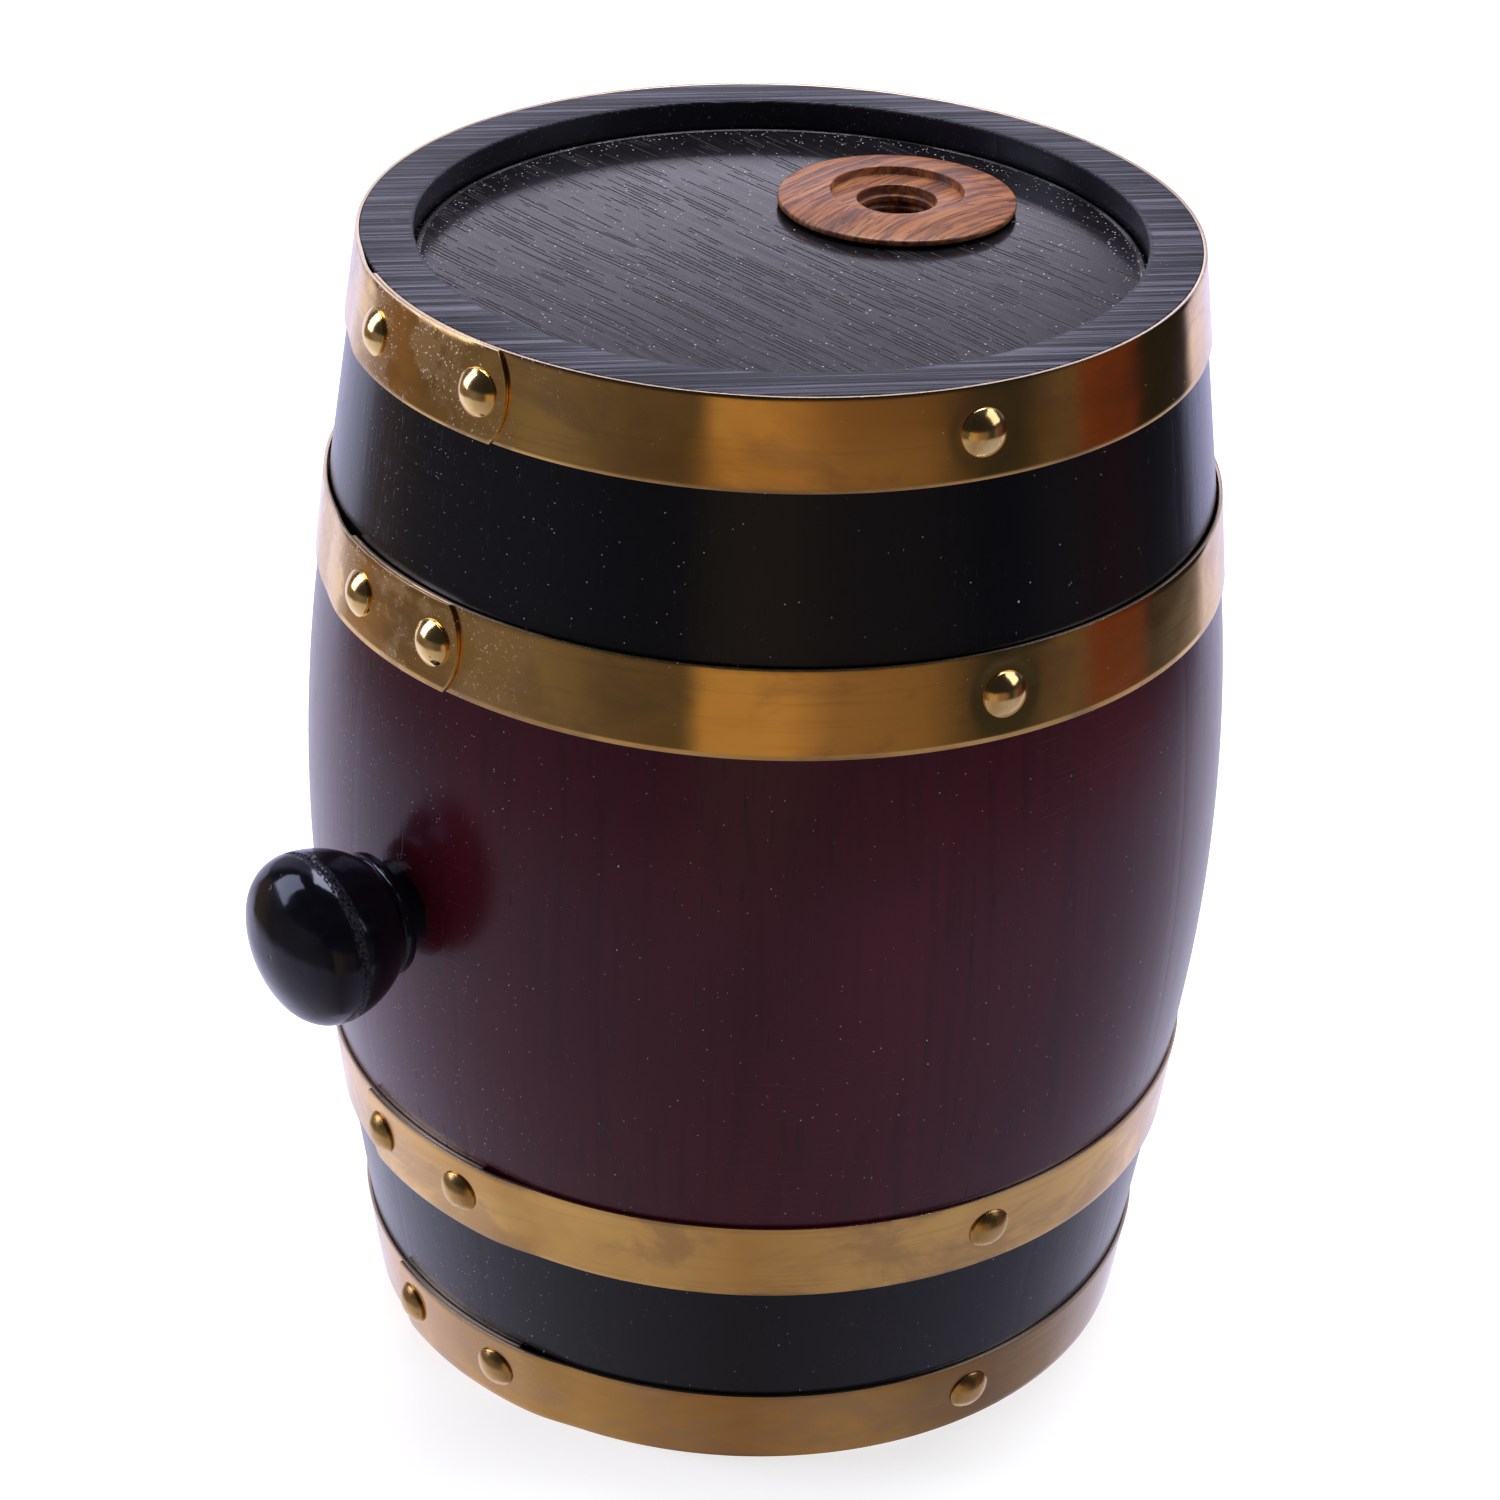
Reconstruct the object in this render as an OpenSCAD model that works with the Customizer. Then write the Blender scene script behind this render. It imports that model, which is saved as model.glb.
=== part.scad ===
// A small coopered oak wine barrel, standing on its lower rim.
// Eighteen bent staves are held by four brass hoops, a boarded head sits in a groove at each
// end, a turned rosewood bush takes the tap and a turned bung closes the hole in the belly.
// The origin is the middle of the foot, +Z runs up the barrel's axis, and the bung faces -Y.

/* [Cask] */
// Height of the barrel, foot to rim
cask_h = 265; // [200:1:320]
// Outside radius of the wood at each rim
rim_r = 90.8; // [80:0.1:110]
// Lean of the straight ends of the staves, degrees
taper = 7.95; // [5:0.05:9]
// Half height of the belly, the stretch where the staves are bent to an arc
belly_half = 56.5; // [45:0.5:60]

/* [Staves] */
// Number of staves
stave_n = 18; // [16:1:20]
// Thickness of a stave
stave_t = 11.6; // [10:0.1:14]

/* [Heads] */
// Depth of each head below its rim
head_sink = 7; // [5:0.5:12]
// Thickness of the head boards
head_t = 12; // [10:0.5:14]
// Width of the middle board of a head
mid_board_w = 44; // [36:1:50]
// How far the bevelled edge of a head reaches into the staves
groove_d = 3.8; // [2.5:0.1:4.5]
// Height of the flat at the bottom of that groove
groove_flat = 5; // [4:0.5:6]
// Diameter of the dowels that join the boards
dowel_d = 6; // [5:0.5:7]
// Length of a dowel
dowel_l = 30; // [20:1:36]
// Distance of the dowels from the middle of the head
dowel_x = 45; // [35:1:52]

/* [Hoops] */
// Width of the brass strip
hoop_w = 19.6; // [16:0.1:24]
// Thickness of the brass strip
hoop_t = 0.8; // [0.6:0.1:1.2]
// Lower edge of each hoop, top hoop first
hoop_z = [245.4, 189.6, 52.5, 0.2]; // [0:0.1:250]
// Angle of the left lap rivet from the bung line, per hoop, degrees
lap_left = [-14.5, -10.5, -8.4, -8.7]; // [-20:0.1:-6]
// Angle of the right lap rivet from the bung line, per hoop, degrees
lap_right = [8.4, 5.0, 8.2, 10.5]; // [4:0.1:14]
// Angle of the side tacks from the bung line, per hoop, degrees
tack_side = [74.5, 77, 80.5, 82.5]; // [70:0.5:85]
// How far the strip runs on past the lap rivets
lap_over = 7.5; // [6:0.5:10]
// Gap between a belly hoop and the wood at the edge nearer the rim
hoop_stand = 0.5; // [0:0.1:0.8]
// Radius of the rounded end of the strip
lap_round = 16; // [11:1:30]

/* [Rivets and tacks] */
// Diameter of a domed head
dome_d = 10.2; // [8:0.1:11]
// Height of a domed head
dome_h = 2.6; // [1.5:0.1:3.5]
// Diameter of a lap rivet's shank
rivet_d = 4; // [3:0.5:5]
// Diameter of a tack's shank
tack_d = 2.2; // [1.8:0.1:2.6]
// Depth that a tack goes into the wood
tack_in = 8; // [6:0.5:9]

/* [Tap bush] */
// Distance of the tap hole from the middle of the head
tap_off = 40.6; // [39:0.1:45]
// Turn of the tap hole from the point straight opposite the bung, degrees
tap_turn = 9; // [-12:0.5:12]
// Diameter of the bush's flange
flange_d = 53.7; // [44:0.1:56]
// Diameter of the dish turned into the flange
dish_d = 30; // [26:0.5:34]
// Diameter of the step below the dish
step_d = 18; // [17:0.5:20]
// Diameter of the hole that takes the tap
tap_d = 16.4; // [14:0.1:16.6]
// Outside diameter of the part that goes through the head
bush_d = 26; // [24:0.5:28]

/* [Bung] */
// Greatest diameter of the knob
knob_d = 38.6; // [34:0.2:42]
// Distance of the knob's widest line from the wood
knob_out = 21.8; // [20:0.2:26]
// Height of the knob's front dome
nose_h = 11.5; // [9:0.5:14]
// Radius of the dome's shoulder
shoulder_r = 8.5; // [6:0.5:9]
// Radius of the arc of the knob's back
back_r = 20.8; // [20:0.2:24]
// Diameter of the collar behind the knob
collar_d = 28; // [24:0.5:30]
// Gap left between the collar and the wood when the bung is driven home
collar_gap = 4.7; // [2:0.1:6]
// Diameter of the shank where it enters the wood
shank_d = 20; // [16:0.5:22]
// Growth of the shank's radius for each millimetre of length
shank_taper = 0.04; // [0.02:0.01:0.06]
// How far the shank reaches into the barrel past the stave
shank_past = 6; // [2:0.5:10]

/* [Hidden] */
STAVES = [for (i = [1:stave_n]) str("stave_", i < 10 ? "0" : "", i)];
HOOPS = ["top_rim_hoop", "top_belly_hoop", "bottom_belly_hoop", "bottom_rim_hoop"];
BOARDS = ["front", "middle", "back"];

// Overlap of shapes that are joined
eps = 0.01;
// Clearance of a turned piece, a dowel or a shank in its own hole
ease = 0.05;
// Gap between two layers of strip
lap_gap = 0.08;
// Gap between the two ends of the ring under a lap, and the length of the step over it
slit_w = 0.6;
step_l = 3;
bung_az = 270;
mid_h = cask_h / 2;
stave_a = 360 / stave_n;
black = [0.09, 0.08, 0.09];
mahogany = [0.26, 0.06, 0.08];
brass = [0.76, 0.58, 0.32];
bright_brass = [0.9, 0.74, 0.38];
rosewood = [0.62, 0.34, 0.18];
pale_wood = [0.8, 0.66, 0.46];

// Radius of the arc that a stave is bent to, and of the belly
bow_r = belly_half / sin(taper);
belly_r = rim_r + (mid_h - belly_half) * tan(taper) + bow_r * (1 - cos(taper));
arc_fn = 360;
turn_fn = 96;

// Radius of the barrel's skin at height z, moved out by grow, measured square to the skin
function skin_r(z, grow = 0) =
    let(h = abs(z - mid_h), a = bow_r + grow)
    h < a * sin(taper)
        ? belly_r - bow_r + sqrt(a * a - h * h)
        : rim_r + (mid_h - h) * tan(taper) + grow / cos(taper);

// ---- Staves ----

// Half section of the solid inside the skin moved out by grow
module body_section(grow) {
    a = bow_r + grow;
    join_h = a * sin(taper);
    intersection() {
        translate([belly_r - bow_r, mid_h]) circle(r = a, $fn = arc_fn);
        translate([0, mid_h - join_h - eps]) square([2 * belly_r, 2 * (join_h + eps)]);
    }
    polygon([
        [0, mid_h + join_h],
        [skin_r(mid_h + join_h, grow), mid_h + join_h],
        [skin_r(cask_h, grow), cask_h],
        [0, cask_h],
    ]);
    polygon([
        [0, 0],
        [skin_r(0, grow), 0],
        [skin_r(mid_h - join_h, grow), mid_h - join_h],
        [0, mid_h - join_h],
    ]);
}

// Wall radius at the face of a head, and the radius of the bottom of its groove
head_r = skin_r(cask_h - head_sink, -stave_t);
groove_r = head_r + groove_d;
groove_top = cask_h - head_sink - (head_t - groove_flat) * 0.4;

// Half section of the top head, whose bevelled edge also shapes the groove in the staves
module head_section(low_lead = 0) {
    low = cask_h - head_sink - head_t;
    polygon([
        [0, low],
        [head_r - 2 - low_lead, low],
        [groove_r, groove_top - groove_flat],
        [groove_r, groove_top],
        [head_r - 1, cask_h - head_sink],
        [0, cask_h - head_sink],
    ]);
}

// Half section of a stave, with the grooves that hold the heads
module stave_section() {
    difference() {
        intersection() {
            body_section(0);
            translate([rim_r - 2 * stave_t, 0]) square([belly_r, cask_h]);
        }
        body_section(-stave_t);
        head_section();
        translate([0, cask_h]) mirror([0, 1]) head_section();
    }
}

// One stave, numbered from the bung stave round towards +X
module stave(i) {
    az = bung_az + (i - 1) * stave_a;
    color(mahogany)
        difference() {
            rotate([0, 0, az - stave_a / 2]) rotate_extrude(angle = stave_a, $fn = turn_fn) stave_section();
            if (i == 1) bung_hole();
            for (h = [0:3], t = tack_angles(h))
                if (abs(t - (i - 1) * stave_a) < stave_a || abs(t + 360 - (i - 1) * stave_a) < stave_a)
                    on_hoop(h, t, 0) translate([0, 0, -tack_in - ease]) cylinder(d = tack_d + 2 * ease, h = tack_in + 4, $fn = 24);
        }
}

// The tapered hole in the belly
module bung_hole() {
    reach = 2 * stave_t;
    facing_out()
        translate([0, 0, -reach])
            cylinder(
                r1 = shank_d / 2 + ease - reach * shank_taper,
                r2 = shank_d / 2 + ease + reach * shank_taper,
                h = 2 * reach, $fn = 64
            );
}

// Puts its children on the wood at the bung line, with their Z pointing out
module facing_out() {
    rotate([0, 0, bung_az]) translate([belly_r, 0, mid_h]) rotate([0, 90, 0]) children();
}

// ---- Heads ----

// Puts its children at the top end, or turned over at the foot
module at_end(top) {
    if (top) children();
    else translate([0, 0, cask_h]) mirror([0, 0, 1]) children();
}

// One of the three boards of a head; its grain runs along X
module head_board(top, k) {
    y0 = k == 0 ? -groove_r - 1 : k == 1 ? -mid_board_w / 2 : mid_board_w / 2;
    y1 = k == 0 ? -mid_board_w / 2 : k == 1 ? mid_board_w / 2 : groove_r + 1;
    color(black)
        at_end(top)
            difference() {
                intersection() {
                    rotate_extrude($fn = turn_fn) head_section();
                    translate([-groove_r - 1, y0, 0]) cube([2 * groove_r + 2, y1 - y0, cask_h]);
                }
                dowels(ease);
                if (top && k == 2)
                    at_tap() translate([0, 0, -head_t - 1]) cylinder(d = bush_d + 2 * ease, h = head_t + 2, $fn = 64);
            }
}

// The four dowels of a head, grown by more for their holes
module dowels(more = 0) {
    for (x = [-dowel_x, dowel_x], y = [-mid_board_w / 2, mid_board_w / 2])
        translate([x, y + dowel_l / 2 + more, cask_h - head_sink - head_t / 2])
            rotate([90, 0, 0]) cylinder(d = dowel_d + 2 * more, h = dowel_l + 2 * more, $fn = 32);
}

module head_dowels(top) {
    color(pale_wood) at_end(top) dowels();
}

// ---- Hoops ----

// Middle height of a hoop, and +1 where it sits on the upper half or -1 on the lower
function hoop_mid(h) = hoop_z[h] + hoop_w / 2;
function up(h) = hoop_mid(h) > mid_h ? 1 : -1;

// Radius of a hoop's inner face at height z: snug at the edge nearer the belly
function hoop_r(h, z) =
    let(far = up(h) > 0 ? z - hoop_z[h] : hoop_z[h] + hoop_w - z, loose = h == 1 || h == 2)
    skin_r(z) + ease + (loose ? hoop_stand * far / hoop_w : 0);

// Half section of a band between two depths, counted outwards from the hoop's inner face
module band_section(h, from, to) {
    z0 = hoop_z[h];
    z1 = z0 + hoop_w;
    polygon([
        [hoop_r(h, z0) + from, z0],
        [hoop_r(h, z0) + to, z0],
        [hoop_r(h, z1) + to, z1],
        [hoop_r(h, z1) + from, z1],
    ]);
}

// A stretch of band between two lap angles
module band(h, from, to, a0, a1) {
    start = up(h) > 0 ? a0 : -a1;
    rotate([0, 0, bung_az + start]) rotate_extrude(angle = a1 - a0, $fn = arc_fn) band_section(h, from, to);
}

// Lean of a hoop's face, positive where it leans in towards the top
function lean(h) = atan((hoop_r(h, hoop_z[h]) - hoop_r(h, hoop_z[h] + hoop_w)) / hoop_w);

// Puts its children on a hoop's face, out by lift, with their Z square to the strip
module on_hoop(h, az, lift) {
    z = hoop_mid(h);
    rotate([0, 0, bung_az + az])
        translate([hoop_r(h, z) + lift, 0, z])
            rotate([0, 90 - lean(h), 0]) children();
}

// Everything inside a hoop's inner face moved out by lift
module inside_hoop(h, lift) {
    z0 = hoop_z[h];
    translate([0, 0, z0])
        cylinder(r1 = hoop_r(h, z0) + lift, r2 = hoop_r(h, z0 + hoop_w) + lift, h = hoop_w, $fn = arc_fn);
}

layer = hoop_t + lap_gap;

// Angles of the three tacks of a hoop: each side and straight opposite the bung
function tack_angles(h) = [tack_side[h], 180, -tack_side[h]];

// The outer end lies to the right of the rivets on the upper hoops and to the left below.
// Lap angles are counted towards the outer end, so they change sign on the lower hoops.
function lap_rivets(h) = up(h) > 0 ? [lap_left[h], lap_right[h]] : [-lap_right[h], -lap_left[h]];

// A strip bent round, its outer end lapped over its inner end
module hoop(h) {
    per_mm = 180 / (PI * hoop_r(h, hoop_mid(h)));
    inner_end = lap_rivets(h)[0] - lap_over * per_mm;
    outer_end = lap_rivets(h)[1] + lap_over * per_mm;
    ring_end = inner_end - slit_w * per_mm;
    step_start = ring_end - step_l * per_mm;
    round_at = outer_end - lap_round * per_mm;
    bite = 0.3 * per_mm;
    color(brass)
        difference() {
            union() {
                band(h, 0, hoop_t, inner_end, ring_end + 360);
                // Solid step where the strip climbs onto its own inner end
                band(h, hoop_t / 2, layer + hoop_t / 2, step_start + bite, ring_end - bite);
                difference() {
                    band(h, layer, layer + hoop_t, step_start, outer_end + per_mm);
                    on_hoop(h, up(h) * round_at, 0) end_waste(up(h));
                }
            }
            for (a = [lap_left[h], lap_right[h]])
                on_hoop(h, a, 0) translate([0, 0, -2]) cylinder(d = rivet_d + 2 * ease, h = 6, $fn = 32);
            for (a = tack_angles(h))
                on_hoop(h, a, 0) translate([0, 0, -2]) cylinder(d = tack_d + 2 * ease, h = 6, $fn = 24);
        }
}

// What is cut away to leave the strip's end round
module end_waste(side) {
    depth = 8;
    difference() {
        translate([-hoop_w, side > 0 ? 0 : -2 * lap_round, -depth / 2]) cube([2 * hoop_w, 2 * lap_round, depth]);
        translate([0, 0, -depth]) cylinder(r = lap_round, h = 2 * depth, $fn = turn_fn);
    }
}

// A domed head standing on Z = 0, with a short straight rim
module dome() {
    rim_h = 0.4;
    cap_h = dome_h - rim_h;
    cap_r = (dome_d * dome_d / 4 + cap_h * cap_h) / (2 * cap_h);
    translate([0, 0, -1]) cylinder(d = dome_d, h = 1 + rim_h, $fn = 48);
    intersection() {
        translate([0, 0, dome_h - cap_r]) sphere(r = cap_r, $fn = 64);
        translate([0, 0, rim_h]) cylinder(d = dome_d, h = cap_h + 1, $fn = 48);
    }
}

// A head bedded on the strip, whose face is lift out from the hoop's inner face
module bedded_head(h, az, lift) {
    difference() {
        on_hoop(h, az, lift) dome();
        inside_hoop(h, lift);
    }
}

// The two rivets through both layers of the lap
module hoop_rivets(h) {
    for (a = [lap_left[h], lap_right[h]])
        color(bright_brass) {
            lift = layer + hoop_t;
            bedded_head(h, a, lift);
            on_hoop(h, a, ease) cylinder(d = rivet_d, h = lift + 1, $fn = 32);
        }
}

// The three tacks that hold a hoop to the staves
module hoop_tacks(h) {
    point_l = 3;
    for (a = tack_angles(h))
        color(bright_brass) {
            bedded_head(h, a, hoop_t);
            on_hoop(h, a, 0) {
                translate([0, 0, point_l - tack_in]) cylinder(d = tack_d, h = tack_in - point_l + hoop_t + 1, $fn = 24);
                translate([0, 0, -tack_in]) cylinder(d1 = 0.4, d2 = tack_d, h = point_l, $fn = 24);
            }
        }
}

// ---- Tap bush ----

// Puts its children on the top head's face at the tap hole
module at_tap() {
    rotate([0, 0, bung_az + 180 + tap_turn]) translate([tap_off, 0, cask_h - head_sink]) children();
}

// Turned flange with a dished middle, on a stem that goes through the head
module tap_bush() {
    lip_low = 1;
    lip_top = 2.3;
    crown = 4;
    dish_depth = 2.2;
    step_depth = 2.4;
    floor_z = crown - dish_depth;
    step_z = floor_z - step_depth;
    color(rosewood)
        at_tap()
            rotate_extrude($fn = turn_fn)
                polygon([
                    [tap_d / 2, -head_t],
                    [bush_d / 2, -head_t],
                    [bush_d / 2, 0],
                    [flange_d / 2 - 4, 0],
                    [flange_d / 2, lip_low],
                    [flange_d / 2, lip_top],
                    [dish_d / 2, crown],
                    [dish_d / 2, floor_z],
                    [step_d / 2, floor_z],
                    [step_d / 2, step_z],
                    [tap_d / 2, step_z],
                ]);
}

// ---- Bung ----

// Half section of the knob, collar and shank; the wood's face is y = 0 and y points out
module bung_section() {
    knob_r = knob_d / 2;
    // The nose arc runs on smoothly from the shoulder arc
    side = knob_r - shoulder_r;
    nose_r = (side * side + nose_h * nose_h - shoulder_r * shoulder_r) / (2 * (nose_h - shoulder_r));
    nose_y = knob_out + nose_h - nose_r;
    join = atan2(side, nose_r - nose_h);
    collar_h = 3.4;
    shank_low = -stave_t - shank_past;
    difference() {
        union() {
            // Front dome
            intersection() {
                translate([0, nose_y]) circle(r = nose_r, $fn = arc_fn);
                polygon([[0, nose_y], [2 * nose_r * sin(join), nose_y + 2 * nose_r * cos(join)], [0, 3 * nose_r]]);
            }
            intersection() {
                translate([side, knob_out]) circle(r = shoulder_r, $fn = turn_fn);
                translate([side, knob_out]) square(2 * shoulder_r);
            }
            polygon([[0, nose_y], [side, knob_out], [side, knob_out + shoulder_r - 1], [0, knob_out + shoulder_r]]);
            // Back of the knob
            intersection() {
                translate([knob_r - back_r, knob_out]) circle(r = back_r, $fn = arc_fn);
                translate([0, collar_gap]) square([knob_d, knob_out - collar_gap + eps]);
            }
            translate([0, knob_out - 1]) square([side, 1 + eps]);
            // Collar
            translate([0, collar_gap]) square([collar_d / 2, collar_h]);
            // Shank
            polygon([
                [0, shank_low],
                [shank_d / 2 + (shank_low + 1) * shank_taper - 1, shank_low],
                [shank_d / 2 + (shank_low + 1) * shank_taper, shank_low + 1],
                [shank_d / 2 + (collar_gap + eps) * shank_taper, collar_gap + eps],
                [0, collar_gap + eps],
            ]);
        }
        // Turned line round the widest part
        translate([knob_r + 0.1, knob_out]) circle(r = 0.6, $fn = 24);
    }
}

module bung() {
    color(black) facing_out() rotate_extrude($fn = turn_fn) bung_section();
}

// ---- Choice of node ----

for (i = [1:stave_n])
    stave(i);

for (k = [0:2]) {
    head_board(true, k);
    head_board(false, k);
}

head_dowels(true);  // top_head_dowels
head_dowels(false);  // bottom_head_dowels

for (h = [0:3]) {
    hoop(h);
    hoop_rivets(h);
    hoop_tacks(h);
}

tap_bush();
bung();
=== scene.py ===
# %% [markdown]
# # A small coopered oak wine barrel
# The barrel is eighteen bent staves, two boarded heads, four brass hoops with their rivets and
# tacks, a turned rosewood tap bush and a turned bung. This lesson dresses the measured CAD frame:
# it keeps every size, and adds the finer shapes and the finishes that the eye looks for.
# We start by loading the frame.

import math

import bmesh
import bpy
from mathutils import Euler, Matrix, Vector


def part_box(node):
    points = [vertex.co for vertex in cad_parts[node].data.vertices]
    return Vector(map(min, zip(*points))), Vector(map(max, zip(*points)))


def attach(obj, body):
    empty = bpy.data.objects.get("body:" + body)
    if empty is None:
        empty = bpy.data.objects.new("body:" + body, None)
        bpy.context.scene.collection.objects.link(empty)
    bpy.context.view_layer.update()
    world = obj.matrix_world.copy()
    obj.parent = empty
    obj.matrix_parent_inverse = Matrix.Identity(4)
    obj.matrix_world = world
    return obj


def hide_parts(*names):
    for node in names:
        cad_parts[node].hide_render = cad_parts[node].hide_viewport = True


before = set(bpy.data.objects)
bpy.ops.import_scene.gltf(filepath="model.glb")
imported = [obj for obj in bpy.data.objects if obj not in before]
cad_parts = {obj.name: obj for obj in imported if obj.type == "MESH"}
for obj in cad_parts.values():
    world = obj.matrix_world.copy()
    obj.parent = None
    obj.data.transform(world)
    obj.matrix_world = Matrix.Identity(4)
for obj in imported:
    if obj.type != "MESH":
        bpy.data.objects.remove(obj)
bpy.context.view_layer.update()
MM = 0.001

# %% [markdown]
# ## Sizes in a cooper's words
# The staves are straight and leaning at their ends, and bent to one arc across the belly, so a
# single rule gives the radius of the barrel's skin at any height. Everything that lies on the
# skin, such as the hoops, asks this rule. A rule is better than a traced outline, because the
# curve stays true at any level of detail.

# %% The rule of the skin
CASK_H = (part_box("stave_01")[1].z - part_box("stave_01")[0].z) / MM
RIM_R = 90.8
TAPER = math.radians(7.95)
BELLY_HALF = 56.5
STAVE_T = 11.6
MID_H = CASK_H / 2
BOW_R = BELLY_HALF / math.sin(TAPER)
BELLY_R = RIM_R + (MID_H - BELLY_HALF) * math.tan(TAPER) + BOW_R * (1 - math.cos(TAPER))
BUNG_AZ = 270


def skin_r(z, grow=0.0):
    """Radius of the skin at height z, moved out by grow, in millimetres."""
    h, bow = abs(z - MID_H), BOW_R + grow
    if h < bow * math.sin(TAPER):
        return BELLY_R - BOW_R + math.sqrt(bow * bow - h * h)
    return RIM_R + (MID_H - h) * math.tan(TAPER) + grow / math.cos(TAPER)


print(f"height {CASK_H:.1f}, rim radius {skin_r(CASK_H):.1f}, belly radius {skin_r(MID_H):.1f} mm")

# %% [markdown]
# ## A bench for node trees
# Shaders and Geometry Nodes are both trees of nodes. Linking them by hand takes many lines, so
# the tree in hand lies on a bench, and helpers add to it there: one puts a node in the tree and
# feeds its inputs, some do sums, one turns a range of values into 0 to 1 with a soft step, and
# the last few take a vector apart or make one. It keeps each line short enough to read.

# %% Helpers for node trees
class bench:
    """Holds the tree that is being built. Every helper works on it."""

    tree = None


def put(kind, inputs=None, **settings):
    """Adds a node, sets its options, and feeds its inputs with numbers or other nodes' outputs."""
    node = bench.tree.nodes.new(kind)
    for name, value in settings.items():
        setattr(node, name, value)
    for key, value in (inputs or {}).items():
        if isinstance(value, bpy.types.NodeSocket):
            bench.tree.links.new(value, node.inputs[key])
        else:
            node.inputs[key].default_value = value
    return node


def calc(operation, *values):
    """The output of one Math node."""
    return put("ShaderNodeMath", dict(enumerate(values)), operation=operation).outputs[0]


def times(product, *values):
    """The product of all the values."""
    for value in values:
        product = calc("MULTIPLY", product, value)
    return product


def plus(total, *values):
    """The sum of all the values."""
    for value in values:
        total = calc("ADD", total, value)
    return total


def minus(first, second):
    """The first value less the second."""
    return calc("SUBTRACT", first, second)


def apart(first, second):
    """How far two values are apart, whichever is larger."""
    return calc("ABSOLUTE", minus(first, second))


def weighed(base, *parts):
    """The base plus a share of each part: parts are (value, share)."""
    return plus(base, *[times(value, share) for value, share in parts])


def soft_step(value, low, high, to_low=0.0, to_high=1.0):
    """Eases from to_low to to_high as value goes from low to high."""
    values = dict(enumerate((value, low, high, to_low, to_high)))
    return put("ShaderNodeMapRange", values, interpolation_type="SMOOTHSTEP").outputs[0]


def axes(vector):
    """The x, y and z of a vector."""
    return put("ShaderNodeSeparateXYZ", {0: vector}).outputs[0:3]


def vector_of(x=0.0, y=0.0, z=0.0):
    """A vector from three values."""
    return put("ShaderNodeCombineXYZ", {0: x, 1: y, 2: z}).outputs[0]


def on_ring(radius, angle, height):
    """The point at a radius and an angle about the Z axis, at a height."""
    sideways, forwards = calc("COSINE", angle), calc("SINE", angle)
    return vector_of(times(radius, sideways), times(radius, forwards), height)


def from_axis(x, y):
    """The distance from the Z axis."""
    return calc("SQRT", plus(times(x, x), times(y, y)))


# %% [markdown]
# ## The camera
# The camera looks down on the barrel from a little right of the bung, with a long lens from
# close by, so the barrel narrows slightly towards its foot. It is aimed at the barrel's middle
# height, and turned two degrees about its own line of sight, as a hand-levelled tripod is.

# %% Place the camera
CAMERA_AZ = math.radians(318)
CAMERA_EL = math.radians(29.442)
CAMERA_OUT = 0.8676
CAMERA_LENS = 89.17
CAMERA_SHIFT = (-0.0088, 0.00557)
ROLL = math.radians(2.014)


def direction(azimuth, elevation):
    """The unit vector that points to an azimuth and an elevation, both in radians."""
    flat = math.cos(elevation)
    return Vector((flat * math.cos(azimuth), flat * math.sin(azimuth), math.sin(elevation)))


def stand(name, data):
    """A new object of the scene that holds the data."""
    thing = bpy.data.objects.new(name, data)
    bpy.context.scene.collection.objects.link(thing)
    return thing


aim_at = Vector((0, 0, MID_H * MM))
towards_camera = direction(CAMERA_AZ, CAMERA_EL)
right = Vector((-math.sin(CAMERA_AZ), math.cos(CAMERA_AZ), 0))
above = towards_camera.cross(right)
cam_x = math.cos(ROLL) * right + math.sin(ROLL) * above
cam_y = -math.sin(ROLL) * right + math.cos(ROLL) * above
turn = Matrix((cam_x, cam_y, towards_camera)).transposed().to_4x4()

camera = stand("camera", bpy.data.cameras.new("camera"))
camera.matrix_world = Matrix.Translation(aim_at + CAMERA_OUT * towards_camera) @ turn
camera.data.lens = CAMERA_LENS
camera.data.sensor_width = 36
camera.data.shift_x, camera.data.shift_y = CAMERA_SHIFT
camera.data.clip_start = 0.01
camera.data.clip_end = 60
bpy.context.scene.camera = camera
bpy.context.scene.view_settings.view_transform = "Standard"
print("camera at", [round(v, 3) for v in camera.location], "m, lens", CAMERA_LENS, "mm")

# %% [markdown]
# ## Floor, backdrop and light
# The stage is a pale floor under a pale sky. Polished brass shows whatever stands round it, so
# the first thing to settle is what the metal will mirror: a dark room in front with a warm wall
# in it, white paper behind and at both sides. The world shader paints that room by direction.
# The floor itself isn't seen in mirrors, because the painted room already has one.

# %% Build the floor and backdrop
STAGE_R = 9.0
FLOOR_SHADE = 0.86
FLOOR_GLOW = 0.68
SKY_COLOUR = (0.97, 0.97, 0.98, 1)


def mesh_of(name, operator, **sizes):
    """A mesh made by one bmesh operator."""
    shape = bmesh.new()
    operator(shape, **sizes)
    mesh = bpy.data.meshes.new(name)
    shape.to_mesh(mesh)
    shape.free()
    return mesh


floor_mesh = mesh_of(
    "studio_floor", bmesh.ops.create_circle, cap_ends=True, segments=64, radius=STAGE_R
)
floor = stand("studio_floor", floor_mesh)
floor.visible_glossy = False
paper = bpy.data.materials.new("floor_paper")
paper.use_nodes = True
shader = paper.node_tree.nodes["Principled BSDF"]
shader.inputs["Base Color"].default_value = (FLOOR_SHADE, FLOOR_SHADE, FLOOR_SHADE, 1)
shader.inputs["Roughness"].default_value = 0.9
shader.inputs["Specular IOR Level"].default_value = 0.1
shader.inputs["Emission Color"].default_value = (1, 1, 1, 1)
shader.inputs["Emission Strength"].default_value = FLOOR_GLOW
floor_mesh.materials.append(paper)

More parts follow.
